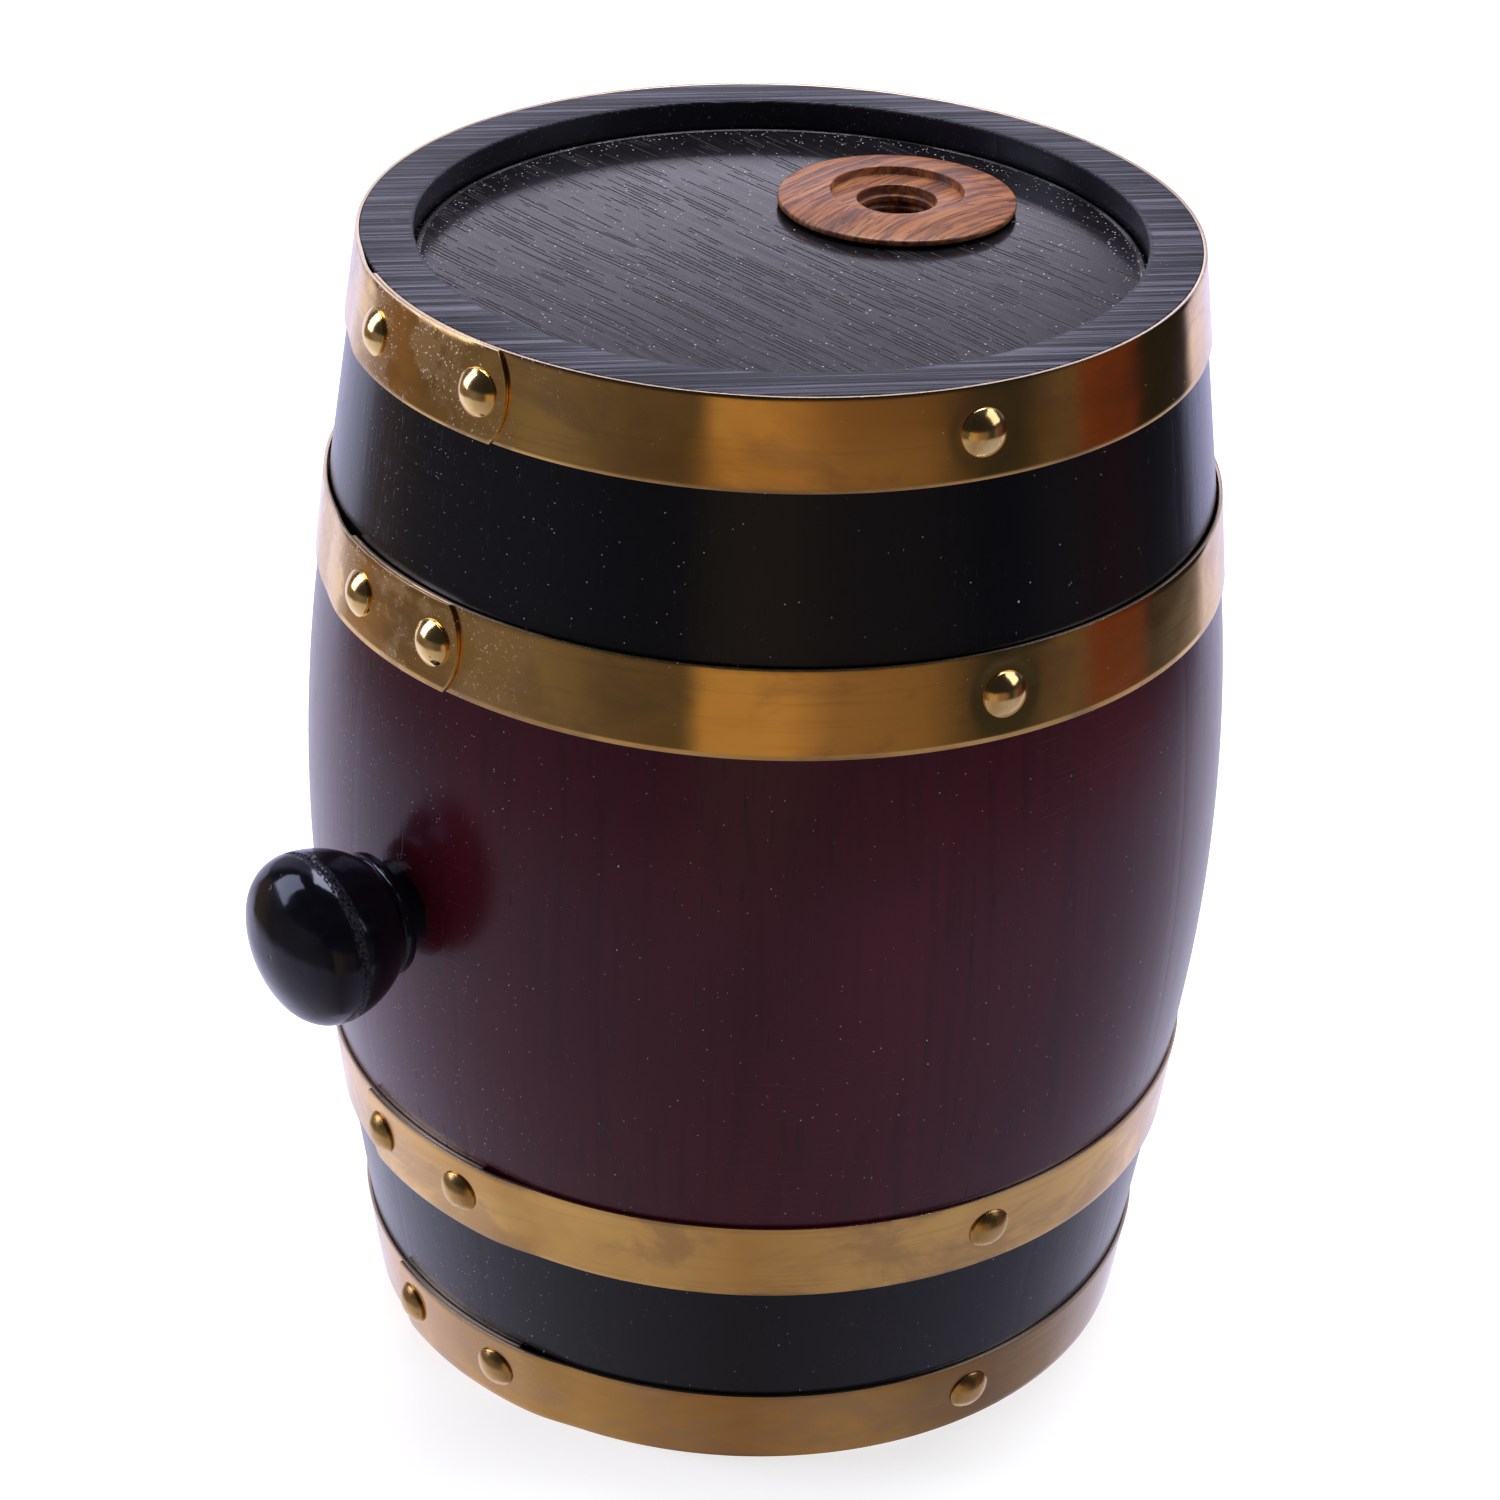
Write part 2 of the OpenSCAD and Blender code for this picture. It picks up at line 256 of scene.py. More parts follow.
sheet = mesh_of(
    "studio_backdrop", bmesh.ops.create_uvsphere, u_segments=48, v_segments=24, radius=STAGE_R
)
backdrop = stand("studio_backdrop", sheet)
glow = bpy.data.materials.new("backdrop_glow")
glow.use_nodes = True
bench.tree = glow.node_tree
bench.tree.nodes.clear()
lit = put("ShaderNodeEmission", {"Color": SKY_COLOUR, "Strength": 1.0})
put("ShaderNodeOutputMaterial", {"Surface": lit.outputs[0]})
sheet.materials.append(glow)
for ray in ("diffuse", "glossy", "transmission", "volume_scatter", "shadow"):
    setattr(backdrop, f"visible_{ray}", False)
print("floor and backdrop", len(floor_mesh.polygons) + len(sheet.polygons), "faces")

# %% [markdown]
# The room is painted in three rings, by the height that a mirrored ray goes to: the table top
# below, the room at table height, and the walls above. In each ring a colour ramp runs once
# round, starting and ending behind the barrel, with the camera's side in its middle.

# %% Paint the room
world = bpy.data.worlds.new("room")
bpy.context.scene.world = world
world.use_nodes = True
bench.tree = world.node_tree
bench.tree.nodes.clear()
looking = put("ShaderNodeTexCoord").outputs["Generated"]
level = put("ShaderNodeMapping", {"Vector": looking, "Rotation": (0, 0, -CAMERA_AZ)})
round_room = put("ShaderNodeTexGradient", {0: level.outputs[0]}, gradient_type="RADIAL")


def ring(way, stops):
    """A colour ramp round the room: stops are (degrees right of the camera, colour)."""
    ramp = put("ShaderNodeValToRGB", {0: round_room.outputs["Fac"]})
    ramp.color_ramp.interpolation = way
    marks = ramp.color_ramp.elements
    while len(marks) < len(stops):
        marks.new(0.5)
    for mark, (degrees, colour) in zip(marks, stops):
        mark.position = 0.5 + degrees / 360
        mark.color = (*colour, 1)
    return ramp.outputs[0]


def either(low, high, below, over):
    """One colour below the low height of the ray, another over the high one."""
    share = soft_step(height, low, high)
    return put("ShaderNodeMix", {0: share, 6: below, 7: over}, data_type="RGBA").outputs[2]


PAPER_BELOW = (0.95, 0.92, 1.2)
PAPER_BESIDE = (0.97, 0.98, 1.5)
table_ring = ring(
    "LINEAR",
    [
        (-180, PAPER_BELOW), (-122, PAPER_BELOW), (-96, (0.72, 0.68, 0.80)),
        (-60, (0.52, 0.47, 0.48)), (0, (0.30, 0.235, 0.22)), (60, (0.40, 0.36, 0.40)),
        (96, (0.43, 0.40, 0.51)), (120, (0.57, 0.54, 0.67)), (134, (0.82, 0.79, 1.02)),
        (180, PAPER_BELOW),
    ],
)
room_ring = ring(
    "LINEAR",
    [
        (-180, PAPER_BESIDE), (-130, (0.93, 0.92, 1.2)), (-126, (0.10, 0.08, 0.075)),
        (-120, (0.26, 0.16, 0.10)), (-108, (0.2, 0.135, 0.09)), (-97, (0.13, 0.10, 0.09)),
        (-60, (0.2, 0.17, 0.15)), (-36, (0.11, 0.09, 0.08)), (-19, (0.09, 0.07, 0.06)),
        (-14, (0.42, 0.27, 0.13)), (4, (0.44, 0.28, 0.14)), (16, (0.25, 0.16, 0.10)),
        (38, (0.2, 0.13, 0.08)), (54, (0.035, 0.035, 0.035)), (66, (0.04, 0.04, 0.04)),
        (72, (0.12, 0.09, 0.07)), (82, (0.13, 0.1, 0.08)), (85, (0.15, 0.045, 0.028)),
        (104, (0.12, 0.038, 0.025)), (107, (0.02, 0.02, 0.02)), (133, (0.02, 0.02, 0.025)),
        (138, (0.86, 0.84, 1.25)), (180, PAPER_BESIDE),
    ],
)
wall_ring = ring(
    "EASE",
    [
        (-180, (0.3, 0.28, 0.36)), (-140, (0.45, 0.42, 0.54)), (-122, (0.05, 0.045, 0.055)),
        (0, (0.02, 0.018, 0.018)), (110, (0.03, 0.027, 0.03)), (135, (0.45, 0.42, 0.54)),
        (180, (0.3, 0.28, 0.36)),
    ],
)
height = axes(looking)[2]
room = either(-0.02, 0.1, either(-0.44, -0.34, table_ring, room_ring), wall_ring)
air = put("ShaderNodeBackground", {"Color": room, "Strength": 1.0})
put("ShaderNodeOutputWorld", {"Surface": air.outputs[0]})
print("room:", len(bench.tree.nodes), "nodes")

# %% [markdown]
# Softboxes do the rest. A large one overhead lights the head and puts the bright cap on every
# rivet, tall ones at both sides draw the windows on the bung, and one behind gives the sheen on
# the black head. Area lights are chosen over points, since their size is what makes shade soft.

# %% Hang the softboxes
def softbox(name, right_of_camera, elevation, away, size, power, tint):
    """A square lamp facing the barrel; the first two are degrees, the rest metres and watts."""
    out = direction(CAMERA_AZ + math.radians(right_of_camera), math.radians(elevation))
    data = bpy.data.lights.new(name, "AREA")
    data.shape = "RECTANGLE"
    data.size, data.size_y = size
    data.energy = power
    data.color = tint
    lamp = stand(name, data)
    facing = out.to_track_quat("Z", "Y").to_matrix().to_4x4()
    lamp.matrix_world = Matrix.Translation(out * away + aim_at) @ facing
    lamp.visible_camera = False
    return lamp


softboxes = [
    softbox("overhead_softbox", 170, 78, 1.2, (0.9, 0.7), 16, (1.0, 0.98, 1.0)),
    softbox("back_softbox", -172, 21.5, 1.5, (0.8, 0.2), 1.15, (0.92, 0.88, 1.06)),
    softbox("left_softbox", -92, 26, 1.2, (0.5, 0.95), 5.5, (0.92, 0.9, 1.05)),
    softbox("right_softbox", 82, 36, 1.2, (0.6, 0.8), 2.4, (0.95, 0.92, 1.0)),
]
print("softboxes", [lamp.name for lamp in softboxes])

# %% [markdown]
# ## Patterns shared by the finishes
# Wood and brass look real through small things laid over each other: grain, pores, tool marks,
# smudges and dust. Each is one helper here, so every finish can call it at its own scale. All
# of them read Object coordinates, which stay with the piece when it moves and need no unwrap.

# %% Pattern helpers
DUST = (0.62, 0.60, 0.64)


def new_finish(name):
    """A material whose tree is put on the bench, and the Object coordinates in that tree."""
    finish = bpy.data.materials.new(name)
    finish.use_nodes = True
    bench.tree = finish.node_tree
    return finish, put("ShaderNodeTexCoord").outputs["Object"]


def noise(place, scale=1.0, detail=2, rough=0.5, warp=0.0, turn=0.0):
    """Smooth noise from 0 to 1. A triple scale stretches it, after a turn about Z."""
    if isinstance(scale, tuple):
        turned = put("ShaderNodeMapping", {"Vector": place, "Rotation": (0, 0, turn)})
        stretched = {"Vector": turned.outputs[0], "Scale": scale}
        place, scale = put("ShaderNodeMapping", stretched).outputs[0], 1.0
    values = {"Vector": place, "Scale": scale, "Detail": detail, "Roughness": rough}
    return put("ShaderNodeTexNoise", {**values, "Distortion": warp}).outputs["Fac"]


def specks(place, per_metre, share, size):
    """Scattered round specks: share of the cells hold one, with a soft edge."""
    cell = put("ShaderNodeTexVoronoi", {"Vector": place, "Scale": per_metre})
    pick = put("ShaderNodeSeparateColor", {0: cell.outputs["Color"]})
    chosen = calc("GREATER_THAN", pick.outputs[0], minus(1.0, share))
    grow = times(pick.outputs[1], size)
    dot = soft_step(cell.outputs["Distance"], grow, times(grow, 0.6))
    return times(dot, chosen)


def blend(amount, first, second, way="MIX"):
    """Mixes two colours by amount."""
    values = {0: amount}
    for slot, given in ((6, first), (7, second)):
        values[slot] = (*given, 1) if isinstance(given, tuple) else given
    return put("ShaderNodeMix", values, data_type="RGBA", blend_type=way).outputs[2]


def raise_up(*layers):
    """Bumps laid over each other: layers are (height, depth in metres), the lowest first."""
    bump = None
    for height, depth in layers:
        values = {"Height": height, "Distance": depth, "Strength": 1.0}
        if bump is not None:
            values["Normal"] = bump
        bump = put("ShaderNodeBump", values).outputs[0]
    return bump


def feed(colour, roughness, normal, **fixed):
    """Links the three patterns to the shader and sets other sockets; _ stands for a space."""
    shader = bench.tree.nodes["Principled BSDF"]
    for name, value in (("Base Color", colour), ("Roughness", roughness), ("Normal", normal)):
        bench.tree.links.new(value, shader.inputs[name])
    for name, value in fixed.items():
        shader.inputs[name.replace("_", " ")].default_value = value
    print("finish of", len(bench.tree.nodes), "nodes")


# %% [markdown]
# ## Stained oak
# The staves are oak, stained black at both ends and red mahogany round the belly, under satin
# lacquer. Oak shows long open pores that run up the stave, in bands that follow the year rings,
# and faint level scratches from sanding. The change of stain hides under the belly hoops. The
# sawn rim shows the blade's straight marks, all in one direction, because it was cut in one pass.

# %% Make the stained oak
BLACK_STAIN = (0.0028, 0.0028, 0.0042)
RED_STAIN = (0.038, 0.0036, 0.0092)
BRIGHT_STAIN = (0.060, 0.0050, 0.0115)
FIGURE_STAIN = (0.012, 0.0028, 0.005)
DARKER_STAIN = (0.010, 0.0012, 0.004)
PORE_STAIN = (0.002, 0.0015, 0.002)
SAWN_LOW, SAWN_PALE_AND_SHEEN = (0.002, 0.002, 0.003), (0.115, 0.108, 0.145)
WALL_STAIN_AND_SHEEN = (0.024, 0.023, 0.031)
BARE_OAK, BARE_FIGURE = (0.30, 0.17, 0.085), (0.17, 0.085, 0.038)
SAW_TURN = math.radians(-57)


def between(value, low, low_full, high_full, high):
    """One between two marks, eased to nought outside them."""
    return times(soft_step(value, low, low_full), soft_step(value, high, high_full))


def by_the_rivets(x, y):
    """One on the side where the laps are riveted, which is handled most, and nought elsewhere."""
    sideways = minus(times(x, 0.45), y)
    return times(soft_step(sideways, 0.045, 0.09), soft_step(x, 0.06, 0.0))


oak, place = new_finish("stained_oak")
x, y, z = axes(place)
reach = from_axis(x, y)

cloud = noise(place, (9, 9, 7), detail=3)
# Painted shade: the brighter red is held back towards the foot, so the stain darkens there.
painted_foot_shade = soft_step(z, 0.075, 0.165, 0.25, 1.0)
warm = times(soft_step(cloud, 0.38, 0.66), painted_foot_shade)
red = blend(warm, RED_STAIN, BRIGHT_STAIN)
figure = noise(place, (260, 260, 7), detail=5, rough=0.6, warp=0.4)
red = blend(soft_step(figure, 0.45, 0.75, 0.0, 0.35), red, FIGURE_STAIN)
tone = put("ShaderNodeAttribute", attribute_name="tone").outputs["Fac"]
red = blend(times(tone, 0.14), red, DARKER_STAIN)
belly = between(z, 0.0600, 0.0625, 0.1995, 0.2015)
stain = blend(belly, BLACK_STAIN, red)

pore_band = noise(place, (42, 42, 3), warp=0.3)
pore = noise(place, (1500, 1500, 60), detail=1, rough=0.4)
pore_limit = soft_step(pore_band, 0.35, 0.7, 0.78, 0.66)
pores = soft_step(minus(pore, pore_limit), 0.0, 0.035)
stain = blend(times(pores, 0.45), stain, PORE_STAIN)

rim_top = calc("GREATER_THAN", z, (CASK_H - 0.6) * MM)
saw = noise(place, (8, 780, 40), detail=3, rough=0.6, warp=0.1, turn=SAW_TURN)
saw_fine = noise(place, (14, 2300, 90), turn=SAW_TURN)
saw_cut = plus(times(saw, 0.65), times(saw_fine, 0.35))
# The saw marks are the cut's own; the pale lilac of their light lines is painted sheen.
sawn = blend(soft_step(saw_cut, 0.44, 0.62), SAWN_LOW, SAWN_PALE_AND_SHEEN)
stain = blend(rim_top, stain, sawn)

# Painted reflection: the inside of the chime above the head is a lighter lilac grey than the black
# stain.
wall_in = times(soft_step(z, 0.2565, 0.258), soft_step(reach, 0.0806, 0.0796))
stain = blend(wall_in, stain, WALL_STAIN_AND_SHEEN)
bung_level = between(z, 0.119, 0.120, 0.145, 0.146)
bare = times(soft_step(reach, 0.1047, 0.1043), bung_level)
bare_wood = blend(soft_step(figure, 0.4, 0.65), BARE_OAK, BARE_FIGURE)
stain = blend(bare, stain, bare_wood)

dust_share = weighed(0.07, (wall_in, 0.4), (by_the_rivets(x, y), 0.2))
fine_dust = specks(place, 1400, dust_share, 0.22)
dust = calc("MAXIMUM", fine_dust, specks(place, 230, 0.05, 0.07))
drift = soft_step(noise(place, (30, 30, 30)), 0.38, 0.55, 0.25, 1.0)
stain = blend(times(dust, drift, 0.9), stain, DUST)

scratches = noise(place, (38, 38, 1500), detail=3, rough=0.6)
sanded = soft_step(noise(place, (22, 22, 14)), 0.42, 0.62)
sanding = times(soft_step(scratches, 0.5, 0.72), sanded)
satin = weighed(0.18, (sanding, 0.05), (pores, 0.1), (cloud, 0.1), (rim_top, 0.3))

fibres = noise(place, (750, 750, 17), detail=3, rough=0.6)
ripple = noise(place, (70, 70, 12))
relief = raise_up(
    (minus(1.0, pores), 0.00005),
    (figure, 0.00004),
    (fibres, 0.00003),
    (sanding, 0.0000035),
    (ripple, 0.00008),
    (times(soft_step(saw_cut, 0.35, 0.62), rim_top), 0.0006),
)
feed(
    stain, satin, relief,
    Specular_IOR_Level=0.36,
    Specular_Tint=(0.66, 0.74, 1.0, 1),
    Coat_Weight=0.1,
    Coat_Roughness=0.2,
)

# %% [markdown]
# ## Blackened head
# The heads are oak boards too, lying flat with the grain along X. Their pores were never filled,
# so the black lacquer shows each one as a dark slit, with a painted highlight for its lip. They
# crowd together where a board was cut across its year rings. Three boards are glued edge to edge,
# and each has its own pattern: the rows are shifted board by board. Dust gathers in the corner by
# the wall, where the head's edge carries a thin painted highlight.

# %% Make the blackened head finish
BOARD_W = 0.044
ROW = 0.00115
BEAD_AT = 0.0786
LACQUER_LOW, LACQUER_HIGH = (0.0062, 0.0058, 0.0072), (0.011, 0.0102, 0.0128)
SLIT_BLACK = (0.0006, 0.0006, 0.0008)
LIP_HIGHLIGHT = (0.07, 0.068, 0.08)
EDGE_HIGHLIGHT_GREY = (0.15, 0.145, 0.17)

head_black, place = new_finish("blackened_head")
x, y, z = axes(place)
board = calc("FLOOR", calc("DIVIDE", plus(y, BOARD_W / 2), BOARD_W))
own = times(board, 0.173)
own_x = plus(x, own)
shifted = vector_of(own_x, plus(y, own), z)
sweep = noise(shifted, (11, 14, 1), detail=1)
bent_y = weighed(y, (sweep, 0.009))
along = vector_of(own_x, bent_y, z)

lane = calc("DIVIDE", bent_y, ROW)
lane_number = calc("FLOOR", lane)
chance = put("ShaderNodeTexWhiteNoise", {"W": lane_number}, noise_dimensions="1D")
chance = chance.outputs["Value"]
off_lane = apart(calc("FRACT", lane), weighed(0.3, (chance, 0.4)))
narrow = soft_step(off_lane, 0.18, 0.09)
lip = soft_step(apart(off_lane, 0.22), 0.06, 0.02)
walk = vector_of(times(own_x, 60.0), times(lane_number, 7.31), chance)
dash = noise(walk, detail=1)
crowded = soft_step(noise(along, (9, 120, 1)), 0.36, 0.64, 0.68, 0.52)
front = soft_step(y, 0.055, -0.045)
dash_limit = minus(crowded, times(front, 0.13))
cut = soft_step(minus(dash, dash_limit), 0.0, 0.04)
slits = times(narrow, cut)
# Painted highlight: the lips of the pores are coloured a lighter grey.
lip_highlights = times(lip, cut, noise(place, (900, 900, 900), detail=1))
streak = noise(along, (14, 420, 20), detail=4, rough=0.6)
black = blend(soft_step(streak, 0.4, 0.7), LACQUER_LOW, LACQUER_HIGH)
black = blend(slits, black, SLIT_BLACK)
black = blend(lip_highlights, black, LIP_HIGHLIGHT)

reach = from_axis(x, y)
# A thin raised bead where the head meets the wall, with a painted highlight on it.
bead_and_highlight = soft_step(apart(reach, BEAD_AT), 0.0008, 0.0002)
broken = soft_step(noise(place, 45.0, 3.0), 0.38, 0.6, 0.25, 1.0)
bead_and_highlight = times(bead_and_highlight, broken)
black = blend(times(bead_and_highlight, 0.8), black, EDGE_HIGHLIGHT_GREY)
dust_share = weighed(0.1, (soft_step(reach, 0.068, 0.0785), 0.6))
fine_dust = specks(place, 1300, dust_share, 0.34)
dust = calc("MAXIMUM", fine_dust, specks(place, 300, 0.08, 0.09))
black = blend(times(dust, 0.9), black, DUST)

uneven = noise(place, (24, 24, 24), detail=3)
satin = weighed(0.13, (uneven, 0.14), (slits, 0.6))
relief = raise_up((minus(1.0, slits), 0.0005), (bead_and_highlight, 0.0004), (streak, 0.00005))
feed(black, satin, relief, Specular_IOR_Level=0.44)

# %% [markdown]
# ## Hoop brass and rivet brass
# The hoops are rolled strip: fine rolling lines run along them, and handling has left dull
# smudges, brown tarnish and dust that scatters light. The rivets were polished and tumbled, so
# they keep a near mirror. Roughness carries most of the difference. The metal's own colour is
# only gently varied, because real tarnish is a film on one alloy.

# %% Make the two brasses
STRIP_BRASS, STRIP_TARNISH = (0.86, 0.565, 0.20), (0.66, 0.40, 0.14)
FOOT_SHADE, RIGHT_SIDE_SHADE = (0.66, 0.58, 0.50), (0.52, 0.54, 0.58)
SMUDGE, STREAK, GRIME = (0.48, 0.31, 0.17), (0.50, 0.33, 0.15), (0.30, 0.19, 0.09)
SHEARED_EDGE_AND_HIGHLIGHT = (0.88, 0.76, 0.62)
DUSTY_BRASS, GRIT = (0.42, 0.29, 0.18), (0.90, 0.84, 0.76)
RIVET_GOLD, RIVET_RUBBED = (0.93, 0.70, 0.32), (0.80, 0.55, 0.23)
LOW_TINT = (0.74, 0.68, 0.62)
PIT_BROWN = (0.16, 0.09, 0.03)

hoop_brass, place = new_finish("hoop_brass")
x, y, z = axes(place)
strip_across = put("ShaderNodeAttribute", attribute_name="across").outputs["Fac"]
from_middle = apart(strip_across, 0.5)
sheared_lit_edge = soft_step(from_middle, 0.4965, 0.4995)
grime = times(soft_step(from_middle, 0.43, 0.49), minus(1.0, sheared_lit_edge))
smudge = noise(place, (38, 38, 60), detail=5, rough=0.62, warp=0.5)
film = noise(place, (14, 14, 22), detail=4, rough=0.6, warp=0.8)
tarnish = soft_step(film, 0.42, 0.72)
metal = blend(tarnish, STRIP_BRASS, STRIP_TARNISH)
# Painted shade: the foot hoop is darkened, standing for the shadowed floor it mirrors.
metal = blend(soft_step(z, 0.03, 0.018, 0.0, 0.75), metal, FOOT_SHADE, "MULTIPLY")
metal = blend(soft_step(smudge, 0.46, 0.64, 0.0, 0.6), metal, SMUDGE)
# Painted shade: the foot hoop is darkened more on its right side.
to_the_right = plus(times(x, 0.95), times(y, 0.31))
shaded_right_side = soft_step(to_the_right, 0.062, 0.09)
shaded_right_side = times(shaded_right_side, soft_step(z, 0.035, 0.02))
metal = blend(shaded_right_side, metal, RIGHT_SIDE_SHADE, "MULTIPLY")
streaks = noise(place, (20, 20, 700), detail=4, rough=0.65, warp=0.2)
metal = blend(soft_step(streaks, 0.5, 0.72, 0.0, 0.35), metal, STREAK)
grimy = times(grime, soft_step(smudge, 0.4, 0.6, 0.1, 0.5))
metal = blend(grimy, metal, GRIME)
# The pale line along both edges is partly bare sheared metal and partly a painted highlight.
metal = blend(times(sheared_lit_edge, 0.8), metal, SHEARED_EDGE_AND_HIGHLIGHT)

handled = times(by_the_rivets(x, y), soft_step(z, 0.15, 0.19, 0.3, 1.0))
wiped = noise(place, (60, 60, 60), detail=4, rough=0.7)
dusty = times(handled, soft_step(wiped, 0.46, 0.6))
thick_grit = times(specks(place, 1500, 0.75, 0.42), dusty)
grit = calc("MAXIMUM", thick_grit, specks(place, 900, 0.06, 0.16))
metal = blend(times(dusty, 0.4), metal, DUSTY_BRASS)
metal = blend(times(grit, 0.85), metal, GRIT)
dull = weighed(0.02, (smudge, 0.18), (tarnish, 0.08), (dusty, 0.16), (grit, 0.4), (sheared_lit_edge, 0.15))
lines = noise(place, (11, 11, 2600), detail=3, rough=0.6)
uneven = noise(place, (50, 50, 50))
relief = raise_up((lines, 0.000002), (uneven, 0.00013), (grit, 0.00002))
feed(metal, dull, relief, Metallic=1.0)

rivet_brass, place = new_finish("rivet_brass")
# The lower rivets are painted darker and made duller towards the foot.
low_down = soft_step(axes(place)[2], 0.15, 0.07)
rub = noise(place, (260, 260, 260), detail=4, rough=0.6)
gold = blend(soft_step(rub, 0.4, 0.7), RIVET_GOLD, RIVET_RUBBED)
gold = blend(low_down, gold, LOW_TINT, "MULTIPLY")
pit = specks(place, 900, 0.06, 0.3)
gold = blend(times(pit, 0.7), gold, PIT_BROWN)
shine = weighed(0.08, (rub, 0.14), (low_down, 0.12))
relief = raise_up((rub, 0.00008), (minus(1.0, pit), 0.00004))
feed(gold, shine, relief, Metallic=1.0)

# %% [markdown]
# ## Rosewood, black lacquer and dowel wood
# Rosewood is orange brown with purple brown stripes and short dark pores. The bush was turned
# on a lathe from a board, so the stripes run straight across its face, and the sides show them
# end on. Stretched noise that is very long in one direction makes such stripes. The bung is
# turned wood under thick black lacquer, whose skin is slightly uneven. The dowels are bare beech.

# %% Make the rosewood, the lacquer and the dowel wood
GRAIN_TURN = math.radians(-8)
ROSE_GLOW, ROSE_DEEP = (0.34, 0.125, 0.043), (0.14, 0.045, 0.022)
ROSE_STRIPE, ROSE_PALE = (0.085, 0.030, 0.030), (0.46, 0.20, 0.075)
ROSE_PORE = (0.03, 0.01, 0.008)
KNOB_OUT = 21.8
KNOB_PITS = [(0.0001, -0.1386, 0.1323), (-0.0044, -0.1349, 0.1461)]
INK, RUBBED_INK = (0.003, 0.003, 0.0052), (0.005, 0.005, 0.0085)
CHIP, CRUMB, PIT = (0.12, 0.11, 0.12), (0.045, 0.042, 0.05), (0.001, 0.001, 0.001)
BEECH, BEECH_FLECK = (0.62, 0.42, 0.24), (0.45, 0.28, 0.15)

rosewood, place = new_finish("rosewood")
x, y, z = axes(place)
bend = noise(place, (22, 22, 22))
wavy = vector_of(weighed(x, (bend, 0.012)), y, z)
stripe = noise(wavy, (330, 13, 150), detail=4, rough=0.6, turn=GRAIN_TURN)
fine = noise(wavy, (900, 24, 500), detail=3, rough=0.6, turn=GRAIN_TURN)
wood = blend(soft_step(fine, 0.4, 0.62), ROSE_GLOW, ROSE_DEEP)
wood = blend(soft_step(stripe, 0.52, 0.6, 0.0, 0.7), wood, ROSE_STRIPE)
wood = blend(soft_step(stripe, 0.36, 0.46, 0.5, 0.0), wood, ROSE_PALE)
dash = noise(wavy, (1500, 120, 1500), detail=1, turn=GRAIN_TURN)
dashes = soft_step(dash, 0.62, 0.66)
wood = blend(times(dashes, 0.6), wood, ROSE_PORE)
soft = weighed(0.3, (fine, 0.16))
relief = raise_up((minus(1.0, dashes), 0.00006), (fine, 0.00003))
feed(wood, soft, relief, Specular_IOR_Level=0.5)

lacquer, place = new_finish("black_lacquer")
rub = noise(place, (300, 40, 300), detail=3)
ink = blend(soft_step(rub, 0.4, 0.7), INK, RUBBED_INK)
chip = specks(place, 700, 0.025, 0.2)
ink = blend(times(chip, 0.5), ink, CHIP)
off_line = apart(axes(place)[1], -(BELLY_R + KNOB_OUT) * MM)
crumb = soft_step(noise(place, 1300.0, 3.0, 0.7), 0.45, 0.62)
crumb = times(crumb, soft_step(off_line, 0.0016, 0.0002))
ink = blend(times(crumb, 0.5), ink, CRUMB)
pits = 0.0
for spot in KNOB_PITS:
    away = put("ShaderNodeVectorMath", {0: place, 1: spot}, operation="DISTANCE")
    near_spot = soft_step(away.outputs["Value"], 0.0006, 0.0003)
    pits = calc("MAXIMUM", pits, near_spot)
ink = blend(pits, ink, PIT)
shine = weighed(0.05, (rub, 0.12), (crumb, 0.3))
relief = raise_up(
    (noise(place, (60, 60, 60)), 0.00035),
    (noise(place, (190, 120, 190)), 0.00005),
    (rub, 0.00003),
    (crumb, 0.0004),
    (minus(1.0, pits), 0.0003),
)
feed(ink, shine, relief, Specular_IOR_Level=0.5, Specular_Tint=(0.68, 0.75, 1.0, 1))

beech, place = new_finish("dowel_beech")
fleck = noise(place, (700, 40, 700), detail=3)
pale_wood = blend(soft_step(fleck, 0.35, 0.7), BEECH, BEECH_FLECK)
matt = weighed(0.5, (fleck, 0.2))
feed(pale_wood, matt, raise_up((fleck, 0.00004)))

# %% [markdown]
# ## First dressing
# Every CAD node gets its finish by its name. The head boards and dowels keep their CAD shapes.

# %% Dress the CAD nodes
def finish_for(node_name):
    """The finish of a CAD node, by what it is called."""
    if node_name.endswith(("_rivets", "_tacks")):
        return rivet_brass
    if node_name.endswith("_hoop"):
        return hoop_brass
    if node_name.endswith("_dowels"):
        return beech
    if "_head_" in node_name:
        return head_black
    return {"tap_bush": rosewood, "bung": lacquer}.get(node_name, oak)


for name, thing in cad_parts.items():
    thing.data.materials.clear()
    thing.data.materials.append(finish_for(name))
print(len(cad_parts), "CAD nodes dressed")

# %% [markdown]
# ## From a node tree to a finished piece
# A Geometry Nodes tree makes a shape from a few sizes, and can be asked again with others. What
# we keep in the end is a plain mesh, because other programs can't run the tree. This cell holds
# the way from one to the other: give an object the tree, set its inputs, let Blender evaluate it,
# and copy the result into a new mesh at the origin, with its doubles merged, its faces turned
# outwards and its hard edges marked.

# %% Helpers for pieces
def new_tree(name, sizes):
    """A Geometry Nodes tree with a geometry in and out and named inputs: (name, kind, value)."""
    tree = bpy.data.node_groups.new(name, "GeometryNodeTree")
    tree.interface.new_socket("Geometry", in_out="INPUT", socket_type="NodeSocketGeometry")
    for label, kind, value in sizes:
        socket = tree.interface.new_socket(label, in_out="INPUT", socket_type=f"NodeSocket{kind}")
        socket.default_value = value
    tree.interface.new_socket("Geometry", in_out="OUTPUT", socket_type="NodeSocketGeometry")
    bench.tree = tree
    return tree, put("NodeGroupInput").outputs


